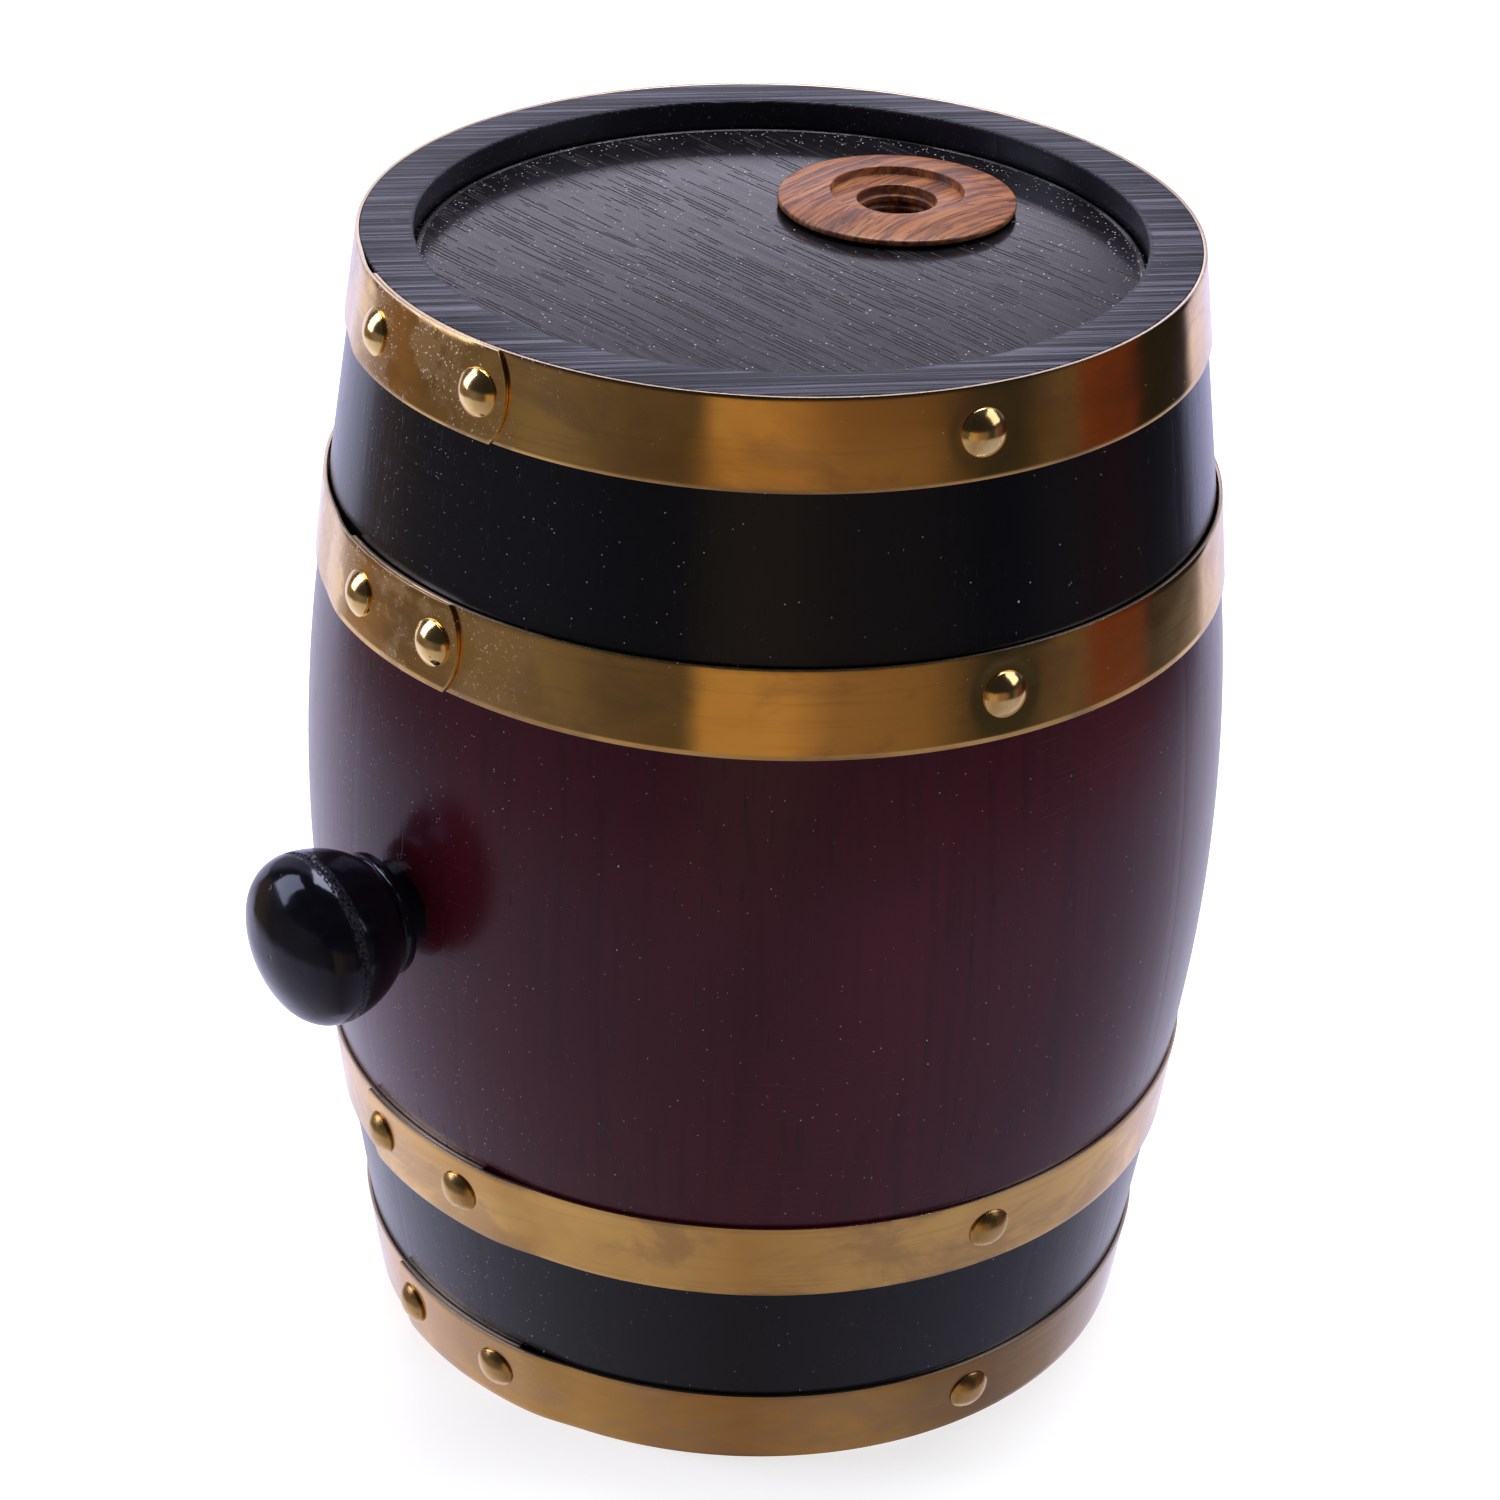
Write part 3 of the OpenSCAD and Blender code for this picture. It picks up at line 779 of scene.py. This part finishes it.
def end_tree(shape, finish=None):
    """Ends a tree: realizes instances, sets the material and hands the geometry out."""
    if finish is not None:
        solid = put("GeometryNodeRealizeInstances", {0: shape}).outputs[0]
        dressed = {"Geometry": solid, "Material": finish}
        shape = put("GeometryNodeSetMaterial", dressed).outputs[0]
    put("NodeGroupOutput", {0: shape})
    print(f"{bench.tree.name} tree:", len(bench.tree.nodes), "nodes")


def woven(columns, rows):
    """A flat grid to be bent into shape, and the column and row that each of its points is in."""
    cloth = put("GeometryNodeMeshGrid", {"Vertices X": columns, "Vertices Y": rows})
    index = put("GeometryNodeInputIndex").outputs[0]
    column = calc("FLOOR", calc("DIVIDE", plus(index, 0.5), rows))
    return cloth.outputs["Mesh"], column, minus(index, times(column, rows))


def point_of(geometry, index):
    """The x, y and z of the geometry's point of that index."""
    position = put("GeometryNodeInputPosition").outputs[0]
    sought = {"Geometry": geometry, "Value": position, "Index": index}
    found = put("GeometryNodeSampleIndex", sought, data_type="FLOAT_VECTOR")
    return axes(found.outputs[0])


def placed_at(geometry, places):
    """The geometry with its points set to the places."""
    return put("GeometryNodeSetPosition", {"Geometry": geometry, "Position": places}).outputs[0]


def marked(geometry, name, value, domain):
    """The geometry with a named number on each point or instance."""
    label = {"Geometry": geometry, "Name": name, "Value": value}
    return put(
        "GeometryNodeStoreNamedAttribute", label, data_type="FLOAT", domain=domain
    ).outputs[0]


def drawing(name, points, faces=()):
    """An object whose mesh is a few points, and perhaps a face between them."""
    mesh = bpy.data.meshes.new(name)
    mesh.from_pydata(points, (), faces)
    return stand(name, mesh)


def grow(thing, tree, **sizes):
    """Gives the object the tree and sets its inputs by their identifiers."""
    step = thing.modifiers.new(tree.name, "NODES")
    step.node_group = tree
    for socket in tree.interface.items_tree:
        key = socket.name.replace(" ", "_")
        if socket.in_out == "INPUT" and key in sizes:
            step[socket.identifier] = sizes[key]
    return thing


def tidy_mesh(mesh, crease, merge=2e-6):
    """Merges doubles, turns faces outwards, and smooths all but the edges sharper than crease."""
    shape = bmesh.new()
    shape.from_mesh(mesh)
    bmesh.ops.remove_doubles(shape, verts=shape.verts, dist=merge)
    bmesh.ops.recalc_face_normals(shape, faces=shape.faces)
    shape.to_mesh(mesh)
    shape.free()
    mesh.shade_smooth()
    mesh.set_sharp_from_angle(angle=math.radians(crease))


def plain_piece(source, name, slot, *nodes, body="barrel", move=None, crease=32, finish=None):
    """The evaluated source as a plain mesh that stands for the CAD nodes and rides on the body."""
    bpy.context.view_layer.update()
    ready = source.evaluated_get(bpy.context.evaluated_depsgraph_get())
    mesh = bpy.data.meshes.new_from_object(ready)
    mesh.name = name
    bpy.data.objects.remove(source)
    if move is not None:
        mesh.transform(move)
    tidy_mesh(mesh, crease)
    if finish is not None:
        mesh.materials.clear()
        mesh.materials.append(finish)
        mesh.polygons.foreach_set("material_index", [0] * len(mesh.polygons))
    piece = stand(name, mesh)
    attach(piece, body)
    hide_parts(*nodes)
    mesh.calc_loop_triangles()
    print(f"{name}: {len(mesh.loop_triangles)} triangles, stands for {', '.join(nodes)}")
    return piece


# %% [markdown]
# ## Staves
# A stave is a plank with one cross section along its length: skin outside, wall inside, a groove
# near each end for the head. All eighteen are that one section turned through a twentieth or so
# of a circle. We draw the section once, as a flat face, and let a tree sweep it in columns
# through the stave's angle, ease its long edges a hair, as a cooper's plane does, close its two
# sides and set copies round the barrel. Each copy carries a random tone of its own.

# %% Draw the section of a stave
HEAD_SINK = 7
HEAD_T = 12
GROOVE_D = 3.8
GROOVE_FLAT = 5
STAVE_N = 18
head_edge = skin_r(CASK_H - HEAD_SINK, -STAVE_T)
groove_top = CASK_H - HEAD_SINK - (HEAD_T - GROOVE_FLAT) * 0.4


def rounded_corner(corner, before, after, radius, steps=4):
    """Points that replace a corner by a short curve."""
    a, b, c = Vector(before), Vector(corner), Vector(after)
    start = b + (a - b).normalized() * radius
    stop = b + (c - b).normalized() * radius
    curve = []
    for i in range(steps + 1):
        t = i / steps
        curve.append((1 - t) ** 2 * start + 2 * t * (1 - t) * b + t * t * stop)
    return [tuple(p) for p in curve]


def upper_half_section():
    """Half of the closed section, from the belly's skin up over the rim and down inside."""
    top_out = (skin_r(CASK_H), CASK_H)
    top_in = (skin_r(CASK_H, -STAVE_T), CASK_H)
    skin = [(skin_r(MID_H + i * 2.5), MID_H + i * 2.5) for i in range(53)]
    rim = rounded_corner(top_out, skin[-1], top_in, 0.35) + rounded_corner(
        top_in, top_out, (head_edge, CASK_H - HEAD_SINK), 0.9
    )
    low = CASK_H - HEAD_SINK - HEAD_T
    groove = [
        (head_edge, CASK_H - HEAD_SINK),
        (head_edge + GROOVE_D, groove_top),
        (head_edge + GROOVE_D, groove_top - GROOVE_FLAT),
        (skin_r(low, -STAVE_T) - 0.6, low),
    ]
    inner = [(skin_r(MID_H + i * 6.0, -STAVE_T), MID_H + i * 6.0) for i in range(18, -1, -1)]
    return skin + rim + groove + inner


half = upper_half_section()
mirrored = [(r, CASK_H - h) for r, h in reversed(half)]
section = half + mirrored[1:-1]
print(f"section of {len(section)} points, groove {GROOVE_D} deep at {groove_top:.1f} mm")

# %% [markdown]
# The sweep is a flat grid in which each column is one position of the section. A Sample Index
# node reads the section's point for every row, and the column gives the angle, with columns
# closer together near the stave's edges, where the easing needs them.

# %% The stave tree
stave_tree, given = new_tree(
    "Staves",
    [
        ("Count", "Int", 17),
        ("First", "Int", 1),
        ("Half angle", "Float", math.pi / STAVE_N),
        ("Columns", "Int", 12),
        ("Ease", "Float", 0.00003),
        ("Seed", "Int", 7),
    ],
)
side_count = put("GeometryNodeAttributeDomainSize", {0: given["Geometry"]}).outputs[0]
cloth, column, row = woven(plus(given["Columns"], 1.0), plus(side_count, 1.0))
row = calc("MODULO", plus(row, 0.25), side_count)
r, _, h = point_of(given["Geometry"], calc("FLOOR", row))
across = minus(times(calc("DIVIDE", column, given["Columns"]), 2.0), 1.0)
inwards = minus(1.0, calc("ABSOLUTE", across))
spread = minus(1.0, calc("POWER", inwards, 1.8))
angle = times(spread, calc("SIGN", across), given["Half angle"])
edge = soft_step(spread, 0.93, 1.0)
r_eased = minus(r, times(edge, given["Ease"]))
swept = placed_at(cloth, on_ring(r_eased, angle, h))
ease_in = vector_of(times(given["Ease"], -1.0))
eased_face = put(
    "GeometryNodeSetPosition", {"Geometry": given["Geometry"], "Offset": ease_in}
).outputs[0]
closed = put("GeometryNodeJoinGeometry", {0: swept})
for way in (-1.0, 1.0):
    side_turn = vector_of(z=times(given["Half angle"], way))
    side_face = put("GeometryNodeTransform", {"Geometry": eased_face, "Rotation": side_turn})
    bench.tree.links.new(side_face.outputs[0], closed.inputs[0])
seam = {0: closed.outputs[0], "Distance": 1e-6}
stave_shape = put("GeometryNodeMergeByDistance", seam).outputs[0]

places = put("GeometryNodePoints", {"Count": given["Count"]}).outputs[0]
which = plus(put("GeometryNodeInputIndex").outputs[0], given["First"])
turned = plus(times(which, 2 * math.pi / STAVE_N), math.radians(BUNG_AZ))
copies = {"Points": places, "Instance": stave_shape, "Rotation": vector_of(z=turned)}
standing = put("GeometryNodeInstanceOnPoints", copies).outputs[0]
draw = {"ID": which, "Seed": given["Seed"]}
tone = put("FunctionNodeRandomValue", draw, data_type="FLOAT").outputs[1]
end_tree(marked(standing, "tone", tone, "INSTANCE"), oak)

# %% Raise the staves
section_points = [(r * MM, 0, h * MM) for r, h in section]
ring_of = [tuple(range(len(section)))]
staves = grow(drawing("stave_section", section_points, ring_of), stave_tree, Count=17, First=1)
plain_piece(staves, "staves", "stained_oak", *[f"stave_{i:02d}" for i in range(2, 19)])

# %% [markdown]
# The bung's stave is the same plank with a tapered hole through its middle. A Boolean is the
# honest tool here, as the real hole is bored and reamed after the stave is in place. The cutter
# is a cone that narrows inwards at the same rate as the bung's shank.

# %% Bore the bung stave
SHANK_D = 20
SHANK_TAPER = 0.04
SKIN_EASE = 0.05
REAMER_HALF = 2 * STAVE_T
to_bung = (
    Matrix.Rotation(math.radians(BUNG_AZ), 4, "Z")
    @ Matrix.Translation((BELLY_R * MM, 0, MID_H * MM))
    @ Matrix.Rotation(math.pi / 2, 4, "Y")
)
reamer_mesh = mesh_of(
    "reamer",
    bmesh.ops.create_cone,
    cap_ends=True,
    segments=96,
    radius1=(SHANK_D / 2 + SKIN_EASE - REAMER_HALF * SHANK_TAPER) * MM,
    radius2=(SHANK_D / 2 + SKIN_EASE + REAMER_HALF * SHANK_TAPER) * MM,
    depth=2 * REAMER_HALF * MM,
)
reamer_mesh.transform(to_bung)
reamer_mesh.materials.append(oak)
cutter = stand("reamer", reamer_mesh)

bung_section = drawing("bung_stave_section", section_points, ring_of)
bung_stave = grow(bung_section, stave_tree, Count=1, First=0)
bore = bung_stave.modifiers.new("bore", "BOOLEAN")
bore.operation = "DIFFERENCE"
bore.object = cutter
bore.solver = "EXACT"
plain_piece(bung_stave, "bung_stave", "stained_oak", "stave_01", finish=oak)
bpy.data.objects.remove(cutter)

# %% [markdown]
# ## Hoops
# A hoop is one strip of brass bent round until its end laps over its start, where two rivets
# hold it. The free end is cut to a round tongue. The strip leans with the skin, so its two edges
# have different radii. A tree lays a long grid round the barrel: the row gives the place across
# the strip, the column the way along it, and near the end of the first turn the strip climbs
# onto itself. It is a little uneven, as sheet bent by hand is, and dished round each tack where
# the hammer bore down. Solidify gives it thickness and Bevel breaks its sheared edges.

# %% The hoop tree
HOOP_W = 19.6
HOOP_T = 0.8
LAP_GAP = 0.08
LAYER = HOOP_T + LAP_GAP
HOOP_STAND = 0.5
LAP_OVER = 7.5
LAP_ROUND = 16
SLIT_W = 0.6
CLIMB_L = 15
WAVE_DEPTH = 0.00007
DISH_DEPTH = 0.00011

hoop_tree, given = new_tree(
    "Hoop strip",
    [
        ("Foot radius", "Float", 0.1),
        ("Top radius", "Float", 0.1),
        ("Foot height", "Float", 0.0),
        ("Width", "Float", HOOP_W * MM),
        ("Start", "Float", 0.0),
        ("Way", "Float", 1.0),
        ("Length", "Float", 6.7),
        ("Climb at", "Float", 6.2),
        ("Climb over", "Float", 0.03),
        ("Layer", "Float", LAYER * MM),
        ("Tongue", "Float", LAP_ROUND * MM),
        ("Columns", "Int", 900),
        ("Rows", "Int", 15),
    ],
)
cloth, column, row = woven(given["Columns"], given["Rows"])
along = calc("DIVIDE", column, minus(given["Columns"], 1.0))
across = calc("DIVIDE", row, minus(given["Rows"], 1.0))

tongue = given["Tongue"]
off_middle = times(minus(across, 0.5), given["Width"])
chord = minus(times(tongue, tongue), times(off_middle, off_middle))
cut_back = minus(tongue, calc("SQRT", chord))
cut_back = calc("DIVIDE", cut_back, given["Foot radius"])
cut_back = times(cut_back, soft_step(along, 0.94, 1.0))
gone = times(along, minus(given["Length"], cut_back))
azimuth = plus(given["Start"], times(gone, given["Way"]))

rise = times(across, minus(given["Top radius"], given["Foot radius"]))
climb = soft_step(minus(gone, given["Climb at"]), 0.0, given["Climb over"])
wave = noise(on_ring(5.0, azimuth, times(across, 0.9)))
radius = plus(given["Foot radius"], rise, times(climb, given["Layer"]))
radius = weighed(radius, (wave, WAVE_DEPTH))
level = plus(given["Foot height"], times(across, given["Width"]))
near = put(
    "GeometryNodeProximity",
    {0: given["Geometry"], "Sample Position": on_ring(radius, azimuth, level)},
    target_element="POINTS",
).outputs["Distance"]
radius = minus(radius, times(soft_step(near, 0.0085, 0.0055), DISH_DEPTH))
strip = marked(cloth, "across", across, "POINT")
end_tree(placed_at(strip, on_ring(radius, azimuth, level)), hoop_brass)

# %% [markdown]
# Four sets of sizes give the four hoops. The belly hoops bear on the wood only at the edge
# nearer the belly and stand half a millimetre off at the other, which leaves a dark line there.

# %% Bend the hoops
HOOPS = {
    "top_rim_hoop": dict(z=245.4, laps=(-14.5, 8.4), side=74.5, loose=False),
    "top_belly_hoop": dict(z=189.6, laps=(-10.5, 5.0), side=77.0, loose=True),
    "bottom_belly_hoop": dict(z=52.5, laps=(-8.4, 8.2), side=80.5, loose=True),
    "bottom_rim_hoop": dict(z=0.2, laps=(-8.7, 10.5), side=82.5, loose=False),
}
EDGE_BREAK = 0.06


def hoop_r(hoop, up):
    """Radius of a hoop's inner face, up millimetres above its foot."""
    far = up if hoop["z"] > MID_H else HOOP_W - up
    stands_off = HOOP_STAND * far / HOOP_W if hoop["loose"] else 0
    return skin_r(hoop["z"] + up) + SKIN_EASE + stands_off


def hoop_lean(hoop):
    """How far a hoop's face leans in towards its top."""
    return math.atan((hoop_r(hoop, 0) - hoop_r(hoop, HOOP_W)) / HOOP_W)


def seat(hoop, azimuth, lift):
    """Where a head sits on a hoop: its place in metres, and its turn so that Z points outwards."""
    az = math.radians(BUNG_AZ + azimuth)
    outward = Euler((0, math.pi / 2 - hoop_lean(hoop), az))
    r = (hoop_r(hoop, HOOP_W / 2) + lift) * MM
    return (r * math.cos(az), r * math.sin(az), (hoop["z"] + HOOP_W / 2) * MM), outward


def tack_angles(hoop):
    """Each side of the bung's line and straight behind it."""
    return (hoop["side"], 180.0, -hoop["side"])


def bend_hoop(name, hoop):
    """One hoop as a finished piece."""
    upper = hoop["z"] > MID_H
    per_mm = 1 / hoop_r(hoop, HOOP_W / 2)
    way = 1 if upper else -1
    inner, outer = hoop["laps"] if upper else (-hoop["laps"][1], -hoop["laps"][0])
    inner_end = math.radians(inner) - LAP_OVER * per_mm
    outer_end = math.radians(outer) + LAP_OVER * per_mm
    overhang = HOOP_T * abs(math.sin(hoop_lean(hoop)))
    seats = [seat(hoop, a, 0)[0] for a in tack_angles(hoop)]
    strip = grow(
        drawing(name + "_seats", seats),
        hoop_tree,
        Foot_radius=hoop_r(hoop, 0) * MM,
        Top_radius=hoop_r(hoop, HOOP_W) * MM,
        Foot_height=(hoop["z"] + (0 if upper else overhang)) * MM,
        Width=(HOOP_W - overhang) * MM,
        Start=math.radians(BUNG_AZ) + way * inner_end,
        Way=float(way),
        Length=2 * math.pi + outer_end - inner_end,
        Climb_at=2 * math.pi - (SLIT_W + CLIMB_L) * per_mm,
        Climb_over=CLIMB_L * per_mm,
    )
    thick = strip.modifiers.new("thickness", "SOLIDIFY")
    thick.thickness = HOOP_T * MM
    thick.offset = 1.0 if upper else -1.0
    thick.use_even_offset = True
    broken = strip.modifiers.new("broken_edge", "BEVEL")
    broken.width = EDGE_BREAK * MM
    broken.segments = 2
    broken.limit_method = "ANGLE"
    broken.angle_limit = math.radians(50)
    return plain_piece(strip, name + "_strip", "hoop_brass", name, crease=25)


for name, hoop in HOOPS.items():
    piece = bend_hoop(name, hoop)

# %% [markdown]
# ## Turning on a lathe
# Rivet heads, the bung and the bush are all turned: one outline spun about an axis. The Spin
# operator and the Screw modifier can do it too, but a small tree of our own gives every turned
# thing the same closed seam, and can be used inside other trees. It reads the outline's points
# in order, just as the stave tree does.

# %% The lathe tree
lathe, given = new_tree("Lathe", [("Steps", "Int", 48)])
rows = put("GeometryNodeAttributeDomainSize", {0: given["Geometry"]}).outputs[0]
cloth, column, row = woven(plus(given["Steps"], 1.0), rows)
r, _, h = point_of(given["Geometry"], row)
angle = times(calc("DIVIDE", column, given["Steps"]), 2 * math.pi)
turned = placed_at(cloth, on_ring(r, angle, h))
end_tree(put("GeometryNodeMergeByDistance", {0: turned, "Distance": 2e-6}).outputs[0])


def on_lathe(geometry, steps):
    """The lathe tree used as one node of another tree."""
    return put("GeometryNodeGroup", {0: geometry, "Steps": steps}, node_tree=lathe).outputs[0]


def arc(centre, radius, start, stop, steps):
    """Points on an arc; angles are degrees from the +Z axis of the outline towards +r."""
    points = []
    for i in range(steps + 1):
        a = math.radians(start + (stop - start) * i / steps)
        points.append((centre[0] + radius * math.sin(a), centre[1] + radius * math.cos(a)))
    return points


def outline_points(outline):
    """An outline in millimetres as points in metres in the XZ plane."""
    return [(r * MM, 0, h * MM) for r, h in outline]


# %% [markdown]
# ## Rivets and tacks
# Each hoop has two rivets through its lap and three tacks into the staves, and every head is the
# same domed button. They are alike, so they are instances: one head from the lathe tree, set on
# seat points that carry their own turn. A fixed seed tips and spins each a little, since no two
# are hammered home quite the same. Below the head the shank runs on into the hoop or the wood.

# %% The tree of domed heads
DOME_D = 10.2
DOME_H = 2.6
DOME_LIP = 0.4
dome_r, cap_h = DOME_D / 2, DOME_H - DOME_LIP
cap_r = (DOME_D**2 / 4 + cap_h**2) / (2 * cap_h)
cap_edge = math.degrees(math.asin(dome_r / cap_r))
button = arc((0, DOME_H - cap_r), cap_r, 0, cap_edge * 0.96, 9)
button += [(dome_r - 0.04, 0.46), (dome_r, 0.3), (dome_r - 0.03, 0.1), (dome_r - 0.3, -0.3)]
rivet_outline = button + [(2.0, -0.3), (2.0, -1.6), (0, -1.6)]
tack_outline = button + [(1.1, -0.3), (1.1, -5.8), (0.2, -8.6), (0, -8.6)]

heads, given = new_tree(
    "Domed heads",
    [("Steps", "Int", 40), ("Tip", "Float", math.radians(1.6)), ("Seed", "Int", 3)],
)
is_seat = put("GeometryNodeInputNamedAttribute", {"Name": "seat"}, data_type="FLOAT")
chosen = calc("GREATER_THAN", is_seat.outputs[0], 0.5)
seats_and_outline = {"Geometry": given["Geometry"], "Selection": chosen}
parted = put("GeometryNodeSeparateGeometry", seats_and_outline, domain="POINT")
head = on_lathe(parted.outputs[1], given["Steps"])
facing = put("GeometryNodeInputNamedAttribute", {"Name": "turn"}, data_type="FLOAT_VECTOR")
copies = {"Points": parted.outputs[0], "Instance": head, "Rotation": facing.outputs[0]}
placed = put("GeometryNodeInstanceOnPoints", copies).outputs[0]
chance = put("FunctionNodeRandomValue", {"Seed": given["Seed"]}, data_type="FLOAT_VECTOR")
cx, cy, cz = axes(chance.outputs[0])
tip_x, tip_y = (times(minus(times(c, 2.0), 1.0), given["Tip"]) for c in (cx, cy))
tipped = vector_of(tip_x, tip_y, times(cz, 2 * math.pi))
tilted = put("GeometryNodeRotateInstances", {"Instances": placed, "Rotation": tipped})
end_tree(tilted.outputs[0], rivet_brass)


def heads_source(name, outline, seats):
    """A drawing that holds one outline and the seats of its copies, marked by attributes."""
    points = outline_points(outline)
    thing = drawing(name, points + [place for place, _ in seats])
    mark = thing.data.attributes.new("seat", "FLOAT", "POINT")
    mark.data.foreach_set("value", [0.0] * len(points) + [1.0] * len(seats))
    turn_of = thing.data.attributes.new("turn", "FLOAT_VECTOR", "POINT")
    turns = [(0, 0, 0)] * len(points) + [tuple(euler) for _, euler in seats]
    turn_of.data.foreach_set("vector", [value for triple in turns for value in triple])
    return thing


print("cap radius", round(cap_r, 2), "mm")

# %% Set the rivets and tacks
TACK_SUNK = 0.2
for number, (name, hoop) in enumerate(HOOPS.items()):
    lap = [seat(hoop, a, LAYER + HOOP_T) for a in hoop["laps"]]
    side = [seat(hoop, a, HOOP_T - TACK_SUNK) for a in tack_angles(hoop)]
    for kind, outline, seats in (("rivets", rivet_outline, lap), ("tacks", tack_outline, side)):
        source = heads_source(f"{name}_{kind}_source", outline, seats)
        grow(source, heads, Seed=11 * number + len(seats))
        plain_piece(source, f"{name}_{kind}_heads", "rivet_brass", f"{name}_{kind}", crease=50)

# %% [markdown]
# ## Tap bush
# The bush is turned in one piece: a low domed flange with a thin lip that stands clear of the
# head, a dished middle, a step, and a hole with a coarse thread cut in it for the tap. Its
# outline is drawn as a closed loop, with its corners rounded by a fraction of a millimetre as
# sandpaper leaves them, and the lathe tree spins it.

# %% Turn the tap bush
TAP_OFF = 40.6
TAP_AZ = BUNG_AZ + 180 + 9
THREADS = 5
THREAD_PITCH = 1.9


def soften(loop, steps=3):
    """Rounds the corners of a closed outline: its corners are (r, height, rounding)."""
    smooth = []
    for i, (r, h, rounding) in enumerate(loop):
        if rounding:
            before, after = loop[i - 1][:2], loop[(i + 1) % len(loop)][:2]
            smooth += rounded_corner((r, h), before, after, rounding, steps)
        else:
            smooth.append((r, h))
    return smooth


bush_outline = soften(
    [
        (8.2, -12.0, 0.2),
        (13.0, -12.0, 0.3),
        (13.0, 0.0, 0),
        (22.85, 0.0, 0.5),
        (26.85, 1.0, 0.35),
        (26.85, 2.3, 0.45),
        (21.0, 3.3, 2.5),
        (15.0, 4.0, 0.35),
        (15.0, 1.8, 0.4),
        (9.0, 1.8, 0.3),
        (9.0, -0.6, 0.3),
        (8.2, -0.6, 0.25),
    ]
)
for i in range(THREADS):
    z0 = -THREAD_PITCH * (i + 1)
    bush_outline += [(8.2, z0), (8.75, z0 - 0.55), (8.75, z0 - 0.85), (8.2, z0 - 1.4)]
bush_outline.append(bush_outline[0])
at_tap = Matrix.Rotation(math.radians(TAP_AZ), 4, "Z") @ Matrix.Translation(
    (TAP_OFF * MM, 0, (CASK_H - HEAD_SINK) * MM)
)
bush = grow(drawing("bush_outline", outline_points(bush_outline)), lathe, Steps=128)
plain_piece(
    bush, "tap_bush_turned", "rosewood", "tap_bush", move=at_tap, crease=40, finish=rosewood
)

# %% [markdown]
# ## Bung
# The bung is a turned knob with an egg-shaped nose, a line cut round its widest part, a collar
# and a long tapered shank. The line was cut dry and the lacquer pooled in it, so it is rough.
# A second tree takes the lathe's shape and pushes its points along their normals: broad and very
# shallow all over, as hand turning leaves it, and fine and deeper along the cut line.

# %% Turn the bung
KNOB_R = 19.3
NOSE_H = 11.5
SHOULDER_R = 8.5
BACK_R = 20.8
COLLAR_R = 14
COLLAR_GAP = 4.7
COLLAR_H = 3.4
SHANK_R = SHANK_D / 2
SHANK_LOW = -STAVE_T - 6

reach_out = KNOB_R - SHOULDER_R
nose_r = (reach_out**2 + NOSE_H**2 - SHOULDER_R**2) / (2 * (NOSE_H - SHOULDER_R))
nose_at = KNOB_OUT + NOSE_H - nose_r
join = math.degrees(math.atan2(reach_out, nose_r - NOSE_H))
collar_top = COLLAR_GAP + COLLAR_H
back_end = math.degrees(math.acos((collar_top + 0.25 - KNOB_OUT) / BACK_R))
shank_low_r = SHANK_R + (SHANK_LOW + 1) * SHANK_TAPER
bung_outline = arc((0, nose_at), nose_r, 0, join, 14)
bung_outline += arc((reach_out, KNOB_OUT), SHOULDER_R, join, 85.5, 16)[1:]
for depth, off in ((0.30, 0.42), (0.52, 0.15), (0.52, -0.15), (0.30, -0.42)):
    bung_outline.append((KNOB_R - depth, KNOB_OUT + off))
bung_outline += arc((KNOB_R - BACK_R, KNOB_OUT), BACK_R, 92, back_end, 16)
bung_outline += [
    (COLLAR_R - 0.7, collar_top - 0.15),
    (COLLAR_R - 0.4, collar_top - 0.3),
    (COLLAR_R - 0.15, collar_top - 0.55),
    (COLLAR_R, collar_top - 0.9),
    (COLLAR_R, COLLAR_GAP + 0.7),
    (COLLAR_R - 0.2, COLLAR_GAP + 0.2),
    (COLLAR_R - 0.7, COLLAR_GAP),
    (SHANK_R + COLLAR_GAP * SHANK_TAPER, COLLAR_GAP),
    (SHANK_R, 0.0),
    (shank_low_r, SHANK_LOW + 1),
    (shank_low_r - 0.9, SHANK_LOW),
    (0.0, SHANK_LOW),
]

hand_turned, given = new_tree(
    "Hand turned",
    [
        ("Steps", "Int", 200),
        ("Broad", "Float", 0.00016),
        ("Rough", "Float", 0.00034),
        ("Line at", "Float", KNOB_OUT * MM),
        ("Line half width", "Float", 0.0013),
        ("From", "Float", 0.0075),
    ],
)
turned = on_lathe(given["Geometry"], given["Steps"])
here = put("GeometryNodeInputPosition").outputs[0]
height = axes(here)[2]
knob_only = soft_step(height, given["From"], plus(given["From"], 0.004))
broad = minus(noise(here, 55.0, 1), 0.5)
by_line = soft_step(apart(height, given["Line at"]), given["Line half width"], 0.0)
crumbs = minus(noise(here, 900.0, 3, 0.7), 0.55)
push = plus(
    times(broad, given["Broad"], knob_only),
    times(crumbs, given["Rough"], by_line),
)
outward = put("GeometryNodeInputNormal").outputs[0]
offset = put("ShaderNodeVectorMath", {0: outward, "Scale": push}, operation="SCALE").outputs[0]
worked = put("GeometryNodeSetPosition", {"Geometry": turned, "Offset": offset}).outputs[0]
end_tree(worked, lacquer)

bung = grow(drawing("bung_outline", outline_points(bung_outline)), hand_turned, Steps=220)
plain_piece(bung, "bung_turned", "black_lacquer", "bung", body="bung", move=to_bung, crease=40)
